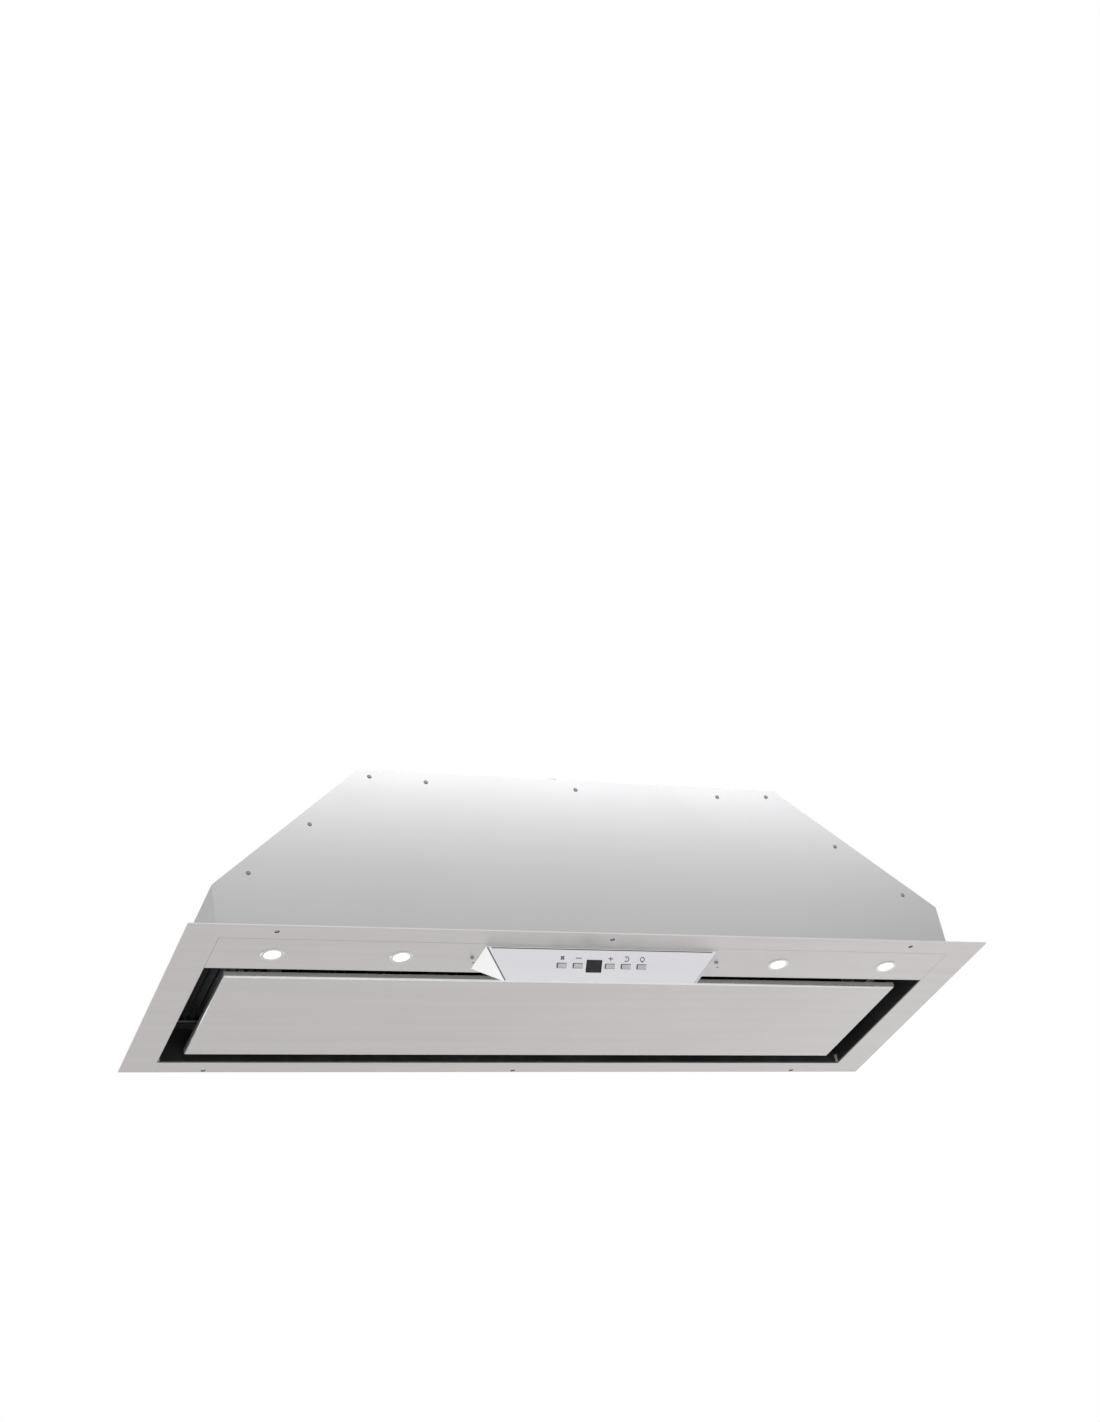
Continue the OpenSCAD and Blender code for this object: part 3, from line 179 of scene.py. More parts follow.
def add(tree, kind, at=(0, 0), **values):
    """A node with its properties set, and its inputs too where the name is an input's."""
    node = tree.nodes.new(kind)
    node.location = at
    for key, value in values.items():
        if hasattr(node, key):
            setattr(node, key, value)
        else:
            node.inputs[key.replace("_", " ")].default_value = value
    return node


def join(tree, *pairs):
    """Links each pair's output to its input."""
    for a, b in pairs:
        tree.links.new(a, b)


def brushed_group():
    """Strokes along one axis: fine ones for the grain, long ones for the tone."""
    group, start, end = new_group("Brushed Grain")
    socket(group, "Vector", "NodeSocketVector")
    socket(group, "Pitch", "NodeSocketFloat", default=0.001)
    socket(group, "Grain", "NodeSocketFloat", out=True)
    socket(group, "Tone", "NodeSocketFloat", out=True)
    rate = add(group, "ShaderNodeMath", (-700, -200), operation="DIVIDE")
    rate.inputs[0].default_value = 1.0
    across = add(group, "ShaderNodeCombineXYZ", (-520, -200), X=14.0)
    fine_at = add(group, "ShaderNodeVectorMath", (-340, 0), operation="MULTIPLY")
    fine = add(group, "ShaderNodeTexNoise", (-160, 100), Scale=1.0, Detail=3.0, Roughness=0.7)
    wide_at = add(group, "ShaderNodeVectorMath", (-340, -260), operation="MULTIPLY")
    wide_at.inputs[1].default_value = (1.2, 55.0, 55.0)
    wide = add(group, "ShaderNodeTexNoise", (-160, -260), Scale=1.0, Detail=2.0, Roughness=0.5)
    join(group, (start.outputs["Pitch"], rate.inputs[1]),
         (rate.outputs[0], across.inputs["Y"]), (rate.outputs[0], across.inputs["Z"]),
         (start.outputs["Vector"], fine_at.inputs[0]), (across.outputs[0], fine_at.inputs[1]),
         (fine_at.outputs[0], fine.inputs["Vector"]),
         (start.outputs["Vector"], wide_at.inputs[0]), (wide_at.outputs[0], wide.inputs["Vector"]),
         (fine.outputs["Fac"], end.inputs["Grain"]), (wide.outputs["Fac"], end.inputs["Tone"]))
    return group


def marks_group():
    """Soft cloudy marks that handling and wiping leave on a surface."""
    group, start, end = new_group("Handling Marks")
    socket(group, "Vector", "NodeSocketVector")
    socket(group, "Scale", "NodeSocketFloat", default=7.0)
    socket(group, "Marks", "NodeSocketFloat", out=True)
    cloud = add(group, "ShaderNodeTexNoise", (-400, 0), Detail=5.0, Roughness=0.62)
    soft = add(group, "ShaderNodeMapRange", (-150, 0), interpolation_type="SMOOTHSTEP")
    soft.inputs["From Min"].default_value = 0.38
    soft.inputs["From Max"].default_value = 0.68
    join(group, (start.outputs["Vector"], cloud.inputs["Vector"]),
         (start.outputs["Scale"], cloud.inputs["Scale"]),
         (cloud.outputs["Fac"], soft.inputs["Value"]),
         (soft.outputs["Result"], end.inputs["Marks"]))
    return group


def dust_group():
    """Dust that settles where a surface looks upwards."""
    group, start, end = new_group("Settled Dust")
    socket(group, "Vector", "NodeSocketVector")
    socket(group, "Amount", "NodeSocketFloat", default=0.3)
    socket(group, "Dust", "NodeSocketFloat", out=True)
    way = add(group, "ShaderNodeNewGeometry", (-700, 200))
    parts = add(group, "ShaderNodeSeparateXYZ", (-520, 200))
    up = add(group, "ShaderNodeMapRange", (-340, 200))
    up.inputs["From Min"].default_value = 0.55
    speck = add(group, "ShaderNodeTexNoise", (-520, -100), Scale=90.0, Detail=6.0)
    both = add(group, "ShaderNodeMath", (-120, 100), operation="MULTIPLY")
    much = add(group, "ShaderNodeMath", (60, 0), operation="MULTIPLY")
    join(group, (way.outputs["Normal"], parts.inputs[0]), (parts.outputs["Z"], up.inputs["Value"]),
         (start.outputs["Vector"], speck.inputs["Vector"]),
         (up.outputs["Result"], both.inputs[0]), (speck.outputs["Fac"], both.inputs[1]),
         (both.outputs[0], much.inputs[0]), (start.outputs["Amount"], much.inputs[1]),
         (much.outputs[0], end.inputs["Dust"]))
    return group


def spangle_group():
    """The patchy crystals of a zinc coating."""
    group, start, end = new_group("Zinc Spangle")
    socket(group, "Vector", "NodeSocketVector")
    socket(group, "Scale", "NodeSocketFloat", default=160.0)
    socket(group, "Patch", "NodeSocketFloat", out=True)
    cells = add(group, "ShaderNodeTexVoronoi", (-400, 0), feature="F1")
    grey = add(group, "ShaderNodeRGBToBW", (-200, 0))
    join(group, (start.outputs["Vector"], cells.inputs["Vector"]),
         (start.outputs["Scale"], cells.inputs["Scale"]),
         (cells.outputs["Color"], grey.inputs[0]), (grey.outputs[0], end.inputs["Patch"]))
    return group


def moulded_group():
    """The fine even texture of a moulded surface."""
    group, start, end = new_group("Moulded Grain")
    socket(group, "Vector", "NodeSocketVector")
    socket(group, "Scale", "NodeSocketFloat", default=1600.0)
    socket(group, "Height", "NodeSocketFloat", out=True)
    speck = add(group, "ShaderNodeTexNoise", (-300, 0), Detail=2.0, Roughness=0.6)
    join(group, (start.outputs["Vector"], speck.inputs["Vector"]),
         (start.outputs["Scale"], speck.inputs["Scale"]),
         (speck.outputs["Fac"], end.inputs["Height"]))
    return group


def lens_rings_group():
    """Rings about the nearest of four lens middles, which lie mirrored along X."""
    group, start, end = new_group("Lens Rings")
    socket(group, "Vector", "NodeSocketVector")
    for name in ("Middle", "Near", "Far", "Radius"):
        socket(group, name, "NodeSocketFloat", default=0.1)
    socket(group, "Glow", "NodeSocketFloat", out=True)
    socket(group, "Rings", "NodeSocketFloat", out=True)
    parts = add(group, "ShaderNodeSeparateXYZ", (-700, 0))
    side = add(group, "ShaderNodeMath", (-550, 150), operation="ABSOLUTE")
    join(group, (start.outputs["Vector"], parts.inputs[0]), (parts.outputs["X"], side.inputs[0]))
    nearest = add(group, "ShaderNodeMath", (-100, 150), operation="MINIMUM")
    for i, name in enumerate(("Near", "Far")):
        away = add(group, "ShaderNodeMath", (-400, 250 - 150 * i), operation="SUBTRACT")
        size = add(group, "ShaderNodeMath", (-250, 250 - 150 * i), operation="ABSOLUTE")
        join(group, (side.outputs[0], away.inputs[0]), (start.outputs[name], away.inputs[1]),
             (away.outputs[0], size.inputs[0]), (size.outputs[0], nearest.inputs[i]))
    across = add(group, "ShaderNodeMath", (-250, -150), operation="SUBTRACT")
    flat = add(group, "ShaderNodeCombineXYZ", (50, 0))
    length = add(group, "ShaderNodeVectorMath", (200, 0), operation="LENGTH")
    share = add(group, "ShaderNodeMath", (350, 0), operation="DIVIDE")
    turns = add(group, "ShaderNodeMath", (500, -150), operation="MULTIPLY")
    turns.inputs[1].default_value = 44.0
    rings = add(group, "ShaderNodeMath", (650, -150), operation="SINE")
    glow = add(group, "ShaderNodeMapRange", (500, 100), interpolation_type="SMOOTHSTEP")
    for name, value in (("From Min", 1.0), ("From Max", 0.45)):
        glow.inputs[name].default_value = value
    join(group, (parts.outputs["Y"], across.inputs[0]),
         (start.outputs["Middle"], across.inputs[1]),
         (nearest.outputs[0], flat.inputs[0]), (across.outputs[0], flat.inputs[1]),
         (flat.outputs[0], length.inputs[0]), (length.outputs["Value"], share.inputs[0]),
         (start.outputs["Radius"], share.inputs[1]), (share.outputs[0], turns.inputs[0]),
         (turns.outputs[0], rings.inputs[0]), (rings.outputs[0], end.inputs["Rings"]),
         (share.outputs[0], glow.inputs["Value"]), (glow.outputs["Result"], end.inputs["Glow"]))
    return group


GROUPS = {}


def effect(name):
    """A shared effect's group, made when it is first asked for."""
    makers = {"brushed": brushed_group, "marks": marks_group, "dust": dust_group,
              "spangle": spangle_group, "moulded": moulded_group,
              "lens_rings": lens_rings_group}
    if name not in GROUPS:
        GROUPS[name] = makers[name]()
    return GROUPS[name]


def place(tree, name, at, vector, **values):
    """A shared effect placed in a material, fed with a vector."""
    node = tree.nodes.new("ShaderNodeGroup")
    node.node_tree = effect(name)
    node.location = at
    tree.links.new(vector, node.inputs["Vector"])
    for key, value in values.items():
        node.inputs[key].default_value = value
    return node


def new_material(name, roughness, metallic=0.0, **sockets):
    """A material with its shader, its tree and the object's own coordinates."""
    material = bpy.data.materials.new(name)
    material.use_nodes = True
    tree = material.node_tree
    shader = tree.nodes["Principled BSDF"]
    shader.inputs["Roughness"].default_value = roughness
    shader.inputs["Metallic"].default_value = metallic
    for key, value in sockets.items():
        shader.inputs[key.replace("_", " ")].default_value = value
    where = add(tree, "ShaderNodeTexCoord", (-1300, 0)).outputs["Object"]
    return material, tree, shader, where


def blend_colours(tree, factor, dark, light, at=(-400, 200)):
    """A colour between two, by a factor that changes over the surface."""
    mix = add(tree, "ShaderNodeMix", at, data_type="RGBA")
    mix.inputs[6].default_value = (*dark, 1)
    mix.inputs[7].default_value = (*light, 1)
    tree.links.new(factor, mix.inputs[0])
    return mix.outputs[2]


def spread(tree, factor, low, high):
    """A number between two, by a factor that changes over the surface."""
    node = add(tree, "ShaderNodeMapRange", (-400, -100))
    node.inputs["To Min"].default_value = low
    node.inputs["To Max"].default_value = high
    tree.links.new(factor, node.inputs["Value"])
    return node.outputs["Result"]


def shade(colour, by):
    """A colour made darker or lighter."""
    return tuple(min(1.0, c * by) for c in colour)


def bump(tree, shader, height, distance, strength):
    """A relief given to a shader's normal."""
    node = add(tree, "ShaderNodeBump", (-300, -400), Distance=distance, Strength=strength)
    join(tree, (height, node.inputs["Height"]), (node.outputs["Normal"], shader.inputs["Normal"]))


# Finishes of the hood

def brushed_steel(name, colour, roughness, contrast=0.05, marks=0.05, metallic=1.0):
    """Stainless sheet brushed along X."""
    material, tree, shader, where = new_material(name, roughness, metallic=metallic)
    grain = place(tree, "brushed", (-900, 100), where, Pitch=finish_values().grain_pitch)
    handled = place(tree, "marks", (-900, -200), where, Scale=5.0)
    tone = add(tree, "ShaderNodeMath", (-650, 200), operation="ADD")
    half = add(tree, "ShaderNodeMath", (-500, 200), operation="MULTIPLY")
    half.inputs[1].default_value = 0.5
    join(tree, (grain.outputs["Grain"], tone.inputs[0]), (grain.outputs["Tone"], tone.inputs[1]),
         (tone.outputs[0], half.inputs[0]))
    swing = GRAIN_SWING * contrast
    colours = blend_colours(tree, half.outputs[0], shade(colour, 1 - swing),
                            shade(colour, 1 + swing))
    tree.links.new(colours, shader.inputs["Base Color"])
    rough = spread(tree, handled.outputs["Marks"], roughness, roughness + marks)
    tree.links.new(rough, shader.inputs["Roughness"])
    bump(tree, shader, grain.outputs["Grain"], 0.05 * MM, 0.35)
    return material


def black_sheet(name, colour):
    """Black painted sheet inside the opening."""
    material, tree, shader, where = new_material(name, 0.45, Specular_IOR_Level=0.4)
    handled = place(tree, "marks", (-900, 100), where, Scale=14.0)
    grain = place(tree, "moulded", (-900, -200), where, Scale=900.0)
    tree.links.new(blend_colours(tree, handled.outputs["Marks"], shade(colour, 0.75),
                                 shade(colour, 1.35)), shader.inputs["Base Color"])
    tree.links.new(spread(tree, handled.outputs["Marks"], 0.38, 0.56), shader.inputs["Roughness"])
    bump(tree, shader, grain.outputs["Height"], 0.06 * MM, 0.5)
    return material


def zinc_sheet(name, colour):
    """Galvanised sheet of the blower, tray and brackets."""
    material, tree, shader, where = new_material(name, 0.42, metallic=0.85)
    patch = place(tree, "spangle", (-900, 200), where, Scale=170.0)
    dust = place(tree, "dust", (-900, -200), where, Amount=0.5)
    metal = blend_colours(tree, patch.outputs["Patch"], shade(colour, 0.82), shade(colour, 1.1))
    over = add(tree, "ShaderNodeMix", (-200, 200), data_type="RGBA")
    over.inputs[7].default_value = (*linear((170, 166, 158)), 1)
    join(tree, (dust.outputs["Dust"], over.inputs[0]), (metal, over.inputs[6]),
         (over.outputs[2], shader.inputs["Base Color"]))
    tree.links.new(spread(tree, patch.outputs["Patch"], 0.34, 0.52), shader.inputs["Roughness"])
    bump(tree, shader, patch.outputs["Patch"], 0.03 * MM, 0.3)
    return material


def filter_mesh_alloy(name, colour):
    """Layers of expanded aluminium, with the diamonds drawn by two crossed waves; the openings
    between the strands are painted shade.
    """
    material, tree, shader, where = new_material(name, 0.4, metallic=0.9)
    heights = []
    for sign in (1, -1):
        turned = add(tree, "ShaderNodeMapping", (-1100, 200 * sign))
        turned.inputs["Rotation"].default_value = (0, 0, sign * math.radians(52))
        wave = add(tree, "ShaderNodeTexWave", (-900, 200 * sign), Scale=95.0, Distortion=0.6)
        join(tree, (where, turned.inputs["Vector"]), (turned.outputs[0], wave.inputs["Vector"]))
        heights.append(wave.outputs["Fac"])
    strands = add(tree, "ShaderNodeMath", (-650, 0), operation="MAXIMUM")
    join(tree, (heights[0], strands.inputs[0]), (heights[1], strands.inputs[1]))
    sharp = add(tree, "ShaderNodeMapRange", (-500, 0), interpolation_type="SMOOTHSTEP")
    sharp.inputs["From Min"].default_value = 0.55
    sharp.inputs["From Max"].default_value = 0.9
    tree.links.new(strands.outputs[0], sharp.inputs["Value"])
    # The openings between the strands are painted shade, nearly black
    tree.links.new(blend_colours(tree, sharp.outputs["Result"], shade(colour, 0.05), colour,
                                 (-250, 200)), shader.inputs["Base Color"])
    bump(tree, shader, sharp.outputs["Result"], 0.5 * MM, 0.8)
    return material


def moulded_plastic(name, colour, roughness, variation=0.06):
    """Moulded plastic with a fine grain and faint handling marks."""
    material, tree, shader, where = new_material(name, roughness)
    handled = place(tree, "marks", (-900, 100), where, Scale=30.0)
    grain = place(tree, "moulded", (-900, -200), where, Scale=2200.0)
    tree.links.new(blend_colours(tree, handled.outputs["Marks"], shade(colour, 1 - variation),
                                 shade(colour, 1 + variation)), shader.inputs["Base Color"])
    tree.links.new(spread(tree, handled.outputs["Marks"], roughness, roughness + 0.12),
                   shader.inputs["Roughness"])
    bump(tree, shader, grain.outputs["Height"], 0.03 * MM, 0.5)
    return material


def polished_metal(name, colour, roughness):
    """Plated rings, pins and screws with faint wiping marks."""
    material, tree, shader, where = new_material(name, roughness, metallic=1.0)
    handled = place(tree, "marks", (-900, 0), where, Scale=60.0)
    tree.links.new(blend_colours(tree, handled.outputs["Marks"], shade(colour, 0.88), colour),
                   shader.inputs["Base Color"])
    tree.links.new(spread(tree, handled.outputs["Marks"], roughness, roughness + 0.15),
                   shader.inputs["Roughness"])
    return material


def display_glass(name):
    """Dark smoked pane."""
    material, tree, shader, where = new_material(name, 0.18, Specular_IOR_Level=0.3)
    handled = place(tree, "marks", (-900, 0), where, Scale=80.0)
    tree.links.new(blend_colours(tree, handled.outputs["Marks"], linear((30, 29, 32)),
                                 linear((44, 43, 46))), shader.inputs["Base Color"])
    tree.links.new(spread(tree, handled.outputs["Marks"], 0.12, 0.3), shader.inputs["Roughness"])
    return material


def circuit_board(name):
    """Green board with copper tracks under the lacquer."""
    material, tree, shader, where = new_material(name, 0.35)
    tracks = add(tree, "ShaderNodeTexBrick", (-800, 0), Scale=160.0)
    tracks.inputs["Color1"].default_value = (*linear((38, 92, 58)), 1)
    tracks.inputs["Color2"].default_value = (*linear((44, 104, 64)), 1)
    tracks.inputs["Mortar"].default_value = (*linear((92, 140, 84)), 1)
    join(tree, (where, tracks.inputs["Vector"]),
         (tracks.outputs["Color"], shader.inputs["Base Color"]))
    return material


def lit_lens(name):
    """A lit lens, brightest at its middle, with the ribs of its moulding."""
    values = finish_values()
    material, tree, shader, where = new_material(name, 0.3)
    shader.inputs["Base Color"].default_value = (0.9, 0.9, 0.88, 1)
    shader.inputs["Emission Strength"].default_value = values.lamp_power
    low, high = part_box("lamp_lenses")
    radius = (high.y - low.y) / 2
    round_at = place(tree, "lens_rings", (-900, 0), where, Middle=(low.y + high.y) / 2,
                     Near=LAMP_NEAR, Far=high.x - radius, Radius=radius)
    tree.links.new(blend_colours(tree, round_at.outputs["Glow"], shade(values.lamp_colour, 0.28),
                                 values.lamp_colour), shader.inputs["Emission Color"])
    bump(tree, shader, round_at.outputs["Rings"], 0.2 * MM, 0.6)
    return material


def printed_ink(name):
    """Dark grey print."""
    material, tree, shader, where = new_material(name, 0.5)
    handled = place(tree, "marks", (-900, 0), where, Scale=200.0)
    tree.links.new(blend_colours(tree, handled.outputs["Marks"], linear((58, 57, 62)),
                                 linear((82, 81, 86))), shader.inputs["Base Color"])
    return material


def finish_for_slots():
    """The material for each of the record's slots."""
    v = finish_values()
    return {
        "brushed_steel": brushed_steel("Brushed Steel", v.steel, 0.38),
        "casing_steel": brushed_steel("Casing Steel", v.casing, 0.41, contrast=0.012, marks=0.03),
        "black_sheet": black_sheet("Black Sheet", v.interior),
        "zinc_sheet": zinc_sheet("Zinc Sheet", linear((186, 189, 192))),
        "filter_alloy": polished_metal("Filter Frame Alloy", linear((188, 190, 192)), 0.35),
        "cover_metal": brushed_steel("Control Cover", v.cover, 0.34, contrast=0.03),
        "cap_plastic": moulded_plastic("End Cap", v.cap, 0.42, variation=0.015),
        "key_metal": polished_metal("Key Metal", linear((206, 206, 210)), 0.22),
        "dark_plastic": moulded_plastic("Dark Plastic", linear((46, 46, 48)), 0.5),
        "display_glass": display_glass("Display Pane"),
        "board_green": circuit_board("Circuit Board"),
        "lens_glow": lit_lens("Lit Lens"),
        "bezel_chrome": polished_metal("Lamp Ring", linear((214, 214, 214)), 0.2),
        "screw_steel": polished_metal("Screw Steel", linear((226, 226, 228)), 0.24),
        "terminal_plastic": moulded_plastic("Terminal Plastic", linear((226, 223, 214)), 0.45),
        "capacitor_shell": moulded_plastic("Capacitor Can", linear((214, 213, 208)), 0.35),
    }


def finish_for_nodes():
    """The materials of the nodes that look unlike others of their slot."""
    return {
        # The meshes take a darker copy of the filter alloy: painted shade inside the hood
        "filter_meshes": filter_mesh_alloy("Filter Mesh Painted Shade", linear((104, 105, 107))),
        "casing_rivets": polished_metal("Rivet Steel", linear((136, 136, 137)), 0.55),
        "strip_screws": polished_metal("Strip Screw Steel", linear((150, 150, 152)), 0.34),
    }


def paint(name, material):
    """Gives a frame part its finish, on every slot of its mesh."""
    mesh = NODES[name].data
    mesh.materials.clear()
    mesh.materials.append(material)
    for face in mesh.polygons:
        face.material_index = 0


# Mesh making

def link(name, data):
    """An object in the scene."""
    made = bpy.data.objects.new(name, data)
    bpy.context.scene.collection.objects.link(made)
    return made


def mesh_object(name, build, material, body):
    """An object from a function that fills a bmesh, riding on a body of the frame."""
    mesh = bpy.data.meshes.new(name)
    bm = bmesh.new()
    build(bm)
    bmesh.ops.recalc_face_normals(bm, faces=bm.faces)
    bm.to_mesh(mesh)
    bm.free()
    mesh.materials.append(material)
    made = link(name, mesh)
    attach(made, body)
    return made


def prism(bm, outline, place_at, thickness):
    """An outline of x and y drawn out along z, and put in place by a matrix."""
    low = [bm.verts.new(place_at @ Vector((x, y, 0))) for x, y in outline]
    high = [bm.verts.new(place_at @ Vector((x, y, thickness))) for x, y in outline]
    bm.faces.new(low)
    bm.faces.new(list(reversed(high)))
    count = len(outline)
    for i in range(count):
        j = (i + 1) % count
        bm.faces.new((low[i], high[i], high[j], low[j]))


def ring_sector(r_in, r_out, start, stop, steps=24):
    """An outline between two radii and two angles in degrees."""
    angles = [math.radians(start + (stop - start) * i / steps) for i in range(steps + 1)]
    outer = [(r_out * math.cos(a), r_out * math.sin(a)) for a in angles]
    inner = [(r_in * math.cos(a), r_in * math.sin(a)) for a in reversed(angles)]
    return outer + inner


def bar(w, h, x=0.0, y=0.0):
    """The outline of a bar about a middle."""
    return [(x - w / 2, y - h / 2), (x + w / 2, y - h / 2), (x + w / 2, y + h / 2),
            (x - w / 2, y + h / 2)]


def turned(outline, degrees):
    """An outline turned about the origin."""
    c, s = math.cos(math.radians(degrees)), math.sin(math.radians(degrees))
    return [(x * c - y * s, x * s + y * c) for x, y in outline]


# Places on the control housing, worked out from its box in the frame

def control_face():
    """Matrix of the housing's front face: x along the hood, y up the face, z outwards."""
    low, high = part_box("control_housing")
    ridge_y = (low.y + high.y) / 2
    base = Vector((0, low.y, high.z))
    ridge = Vector((0, ridge_y, low.z - RIDGE_ROUND))
    down = (ridge - base).normalized()
    along = Vector((1, 0, 0))
    outward = along.cross(-down).normalized()
    if outward.y > 0:
        outward = -outward
    place_at = Matrix.Identity(4)
    for i in range(3):
        place_at[i][0], place_at[i][1], place_at[i][2] = along[i], -down[i], outward[i]
        place_at[i][3] = base[i]
    return place_at


def key_middle(name):
    low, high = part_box(name)
    return (low.x + high.x) / 2


# How far down the face the signs lie, how big they are, and their strokes and ink
SIGN_DOWN = 13.2 * MM
SIGN_SIZE = 6.8 * MM
SIGN_STROKE = 1.15 * MM
INK = 0.06 * MM
# How far down the face the keys lie, and the painted shade in the gap round each, widest on the
# left
KEY_DOWN = 23.5 * MM
KEY_HEIGHT = 6.0 * MM
KEY_INSET = 2.4 * MM
KEY_SHADE_LEFT = 1.3 * MM
KEY_SHADE_THIN = 0.6 * MM
KEY_SHADE_DEPTH = 0.12 * MM
# Painted shade on the face: its depth, its start below the face's top, and the height of the
# painted shadow along the cover's top edge
EDGE_DEPTH = 0.04 * MM
EDGE_START = 0.7 * MM
SHADOW_HEIGHT = 1.5 * MM
SHADOW_FROM_LEFT = 3.2 * MM
SHADOW_FROM_RIGHT = 6 * MM
# Side, inset and width of the painted shade along the edge of each end cap, wide on the left and
# thin on the right
CAP_EDGES = ((-1, 0.8 * MM, 2.4 * MM), (1, 3.6 * MM, 0.4 * MM))
# Side, inset and width of the paler painted shade over the right cap's rim
CAP_RIM = ((1, 0.1 * MM, 3.4 * MM),)


def sign_outlines():
    """Outlines of the five signs, one list for each key."""
    s, stroke = SIGN_SIZE, SIGN_STROKE
    blade = [(0.0, 0.0), (0.17 * s, 0.12 * s), (0.27 * s, 0.36 * s), (0.10 * s, 0.50 * s),
             (-0.10 * s, 0.42 * s), (-0.07 * s, 0.18 * s)]
    return {
        "fan": [turned(blade, 90 * k + 62) for k in range(4)],
        "minus": [bar(1.25 * s, stroke)],
        "plus": [bar(1.05 * s, stroke), bar(stroke, 0.85 * s)],
        "timer": [ring_sector(0.40 * s, 0.40 * s + stroke, -140, 140),
                  bar(stroke * 0.8, 0.26 * s, 0, 0.12 * s)],
        "lamp": [ring_sector(0.34 * s, 0.34 * s + stroke, 0, 359.9),
                 bar(0.30 * s, stroke, 0, -0.56 * s)],
    }


def build_signs(material):
    """The printed sign above each key."""
    face = control_face()
    for key, outlines in sign_outlines().items():
        at = face @ Matrix.Translation((key_middle("button_" + key), -SIGN_DOWN, 0))

        def build(bm, outlines=outlines, at=at):
            for outline in outlines:
                prism(bm, outline, at, INK)
        mesh_object("sign_" + key, build, material, "hood")


def build_key_gap_shade(dark):
    """Painted shade in the gap round each key, just inside the face, widest on the key's left
    side.
    """
    face = control_face()
    height, wide, thin = KEY_HEIGHT, KEY_SHADE_LEFT, KEY_SHADE_THIN
    for key in sign_outlines():
        low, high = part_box("button_" + key)
        width = (high.x - low.x) - KEY_INSET
        at = face @ Matrix.Translation(((low.x + high.x) / 2, -KEY_DOWN, 0))

        def build(bm, at=at, width=width):
            for outline in (bar(width + 2 * thin, thin, 0, height / 2 + thin / 2),
                            bar(width + 2 * thin, thin, 0, -height / 2 - thin / 2),
                            bar(wide, height, -width / 2 - wide / 2, 0),
                            bar(thin, height, width / 2 + thin / 2, 0)):
                prism(bm, outline, at, KEY_SHADE_DEPTH)
        mesh_object("key_gap_shade_" + key, build, dark, "hood")


def build_cap_edges(dark, pale):
    """Painted shade along the edge of each end cap beside its joint with the cover, and a paler
    painted shade over the right cap's rim.
    """
    face = control_face()
    low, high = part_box("control_caps")
    half = (high.x - low.x) / 2
    ridge = max(v.co.x for v in NODES["control_caps"].data.vertices if v.co.z < low.z + 0.1 * MM)
    length = (Vector((0, (low.y + high.y) / 2, low.z)) - Vector((0, low.y, high.z))).length
    end = EDGE_START

    for name, edges, material in (("cap_edges", CAP_EDGES, dark),
                                  ("cap_rim", CAP_RIM, pale)):
        def build(bm, edges=edges):
            for side, inset, wide in edges:
                top, foot = half - inset, ridge - inset
                outline = [(side * top, -end), (side * (top - wide), -end),
                           (side * (foot - wide), end - length), (side * foot, end - length)]
                prism(bm, outline, face, EDGE_DEPTH)
        mesh_object(name, build, material, "hood")


def build_cover_painted_shadow(dark):
    """Painted shadow along the joint between the cover's front edge and the light strip."""
    face = control_face()
    low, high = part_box("control_housing")
    half, tall, end = (high.x - low.x) / 2, SHADOW_HEIGHT, EDGE_START
    left, right = SHADOW_FROM_LEFT - half, half - SHADOW_FROM_RIGHT

    def build(bm):
        outline = [(left, -end), (right, -end),
                   (right - tall, -end - tall), (left + tall, -end - tall)]
        prism(bm, outline, face, EDGE_DEPTH)
    mesh_object("cover_painted_shadow", build, dark, "hood")


def build_hole_edges(dark):
    """Painted shade round each fixing hole, on the underside and lining its wall."""
    low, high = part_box("faceplate")
    under = low.z
    rows = (low.y + HOLE_FROM_FRONT, high.y - HOLE_FROM_REAR)
    radius, rim, thick, count = HOLE_RADIUS, 0.8 * MM, EDGE_DEPTH, 32
    section = ((radius - thick, under - thick), (radius + rim, under - thick),
               (radius + rim, under), (radius, under), (radius, under + SHEET),
               (radius - thick, under + SHEET))

    def build(bm):
        for x in (-HOLE_SPACING, 0, HOLE_SPACING):
            for y in rows:
                loops = []
                for r, z in section:
                    loops.append([bm.verts.new((x + r * math.cos(2 * math.pi * i / count),
                                                y + r * math.sin(2 * math.pi * i / count), z))
                                  for i in range(count)])
                for a, b in zip(loops, loops[1:] + loops[:1]):
                    for i in range(count):
                        j = (i + 1) % count
                        bm.faces.new((a[i], a[j], b[j], b[i]))
    mesh_object("hole_edges", build, dark, "hood")


# Sheet of the inner walls, and the pale strip at the foot of their rear corners: the corner
# joint's bare edge with a painted highlight
WALL_SHEET = 1.2 * MM
CORNER_GLINT_SIZE = 3 * MM
CORNER_GLINT_HEIGHT = 12 * MM


def build_corner_joint_glints(material):
    """A pale strip at the foot of each rear corner of the opening: the corner joint's bare edge,
    with its glint painted in as a highlight.
    """
    low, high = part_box("end_walls")
    x, y = high.x - WALL_SHEET, high.y

    def build(bm):
        for side in (-1, 1):
            outline = [(side * x, y), (side * (x - CORNER_GLINT_SIZE), y), (side * x, y - CORNER_GLINT_SIZE)]
            prism(bm, outline, Matrix.Translation((0, 0, low.z)), CORNER_GLINT_HEIGHT)
    mesh_object("corner_beads", build, material, "hood")


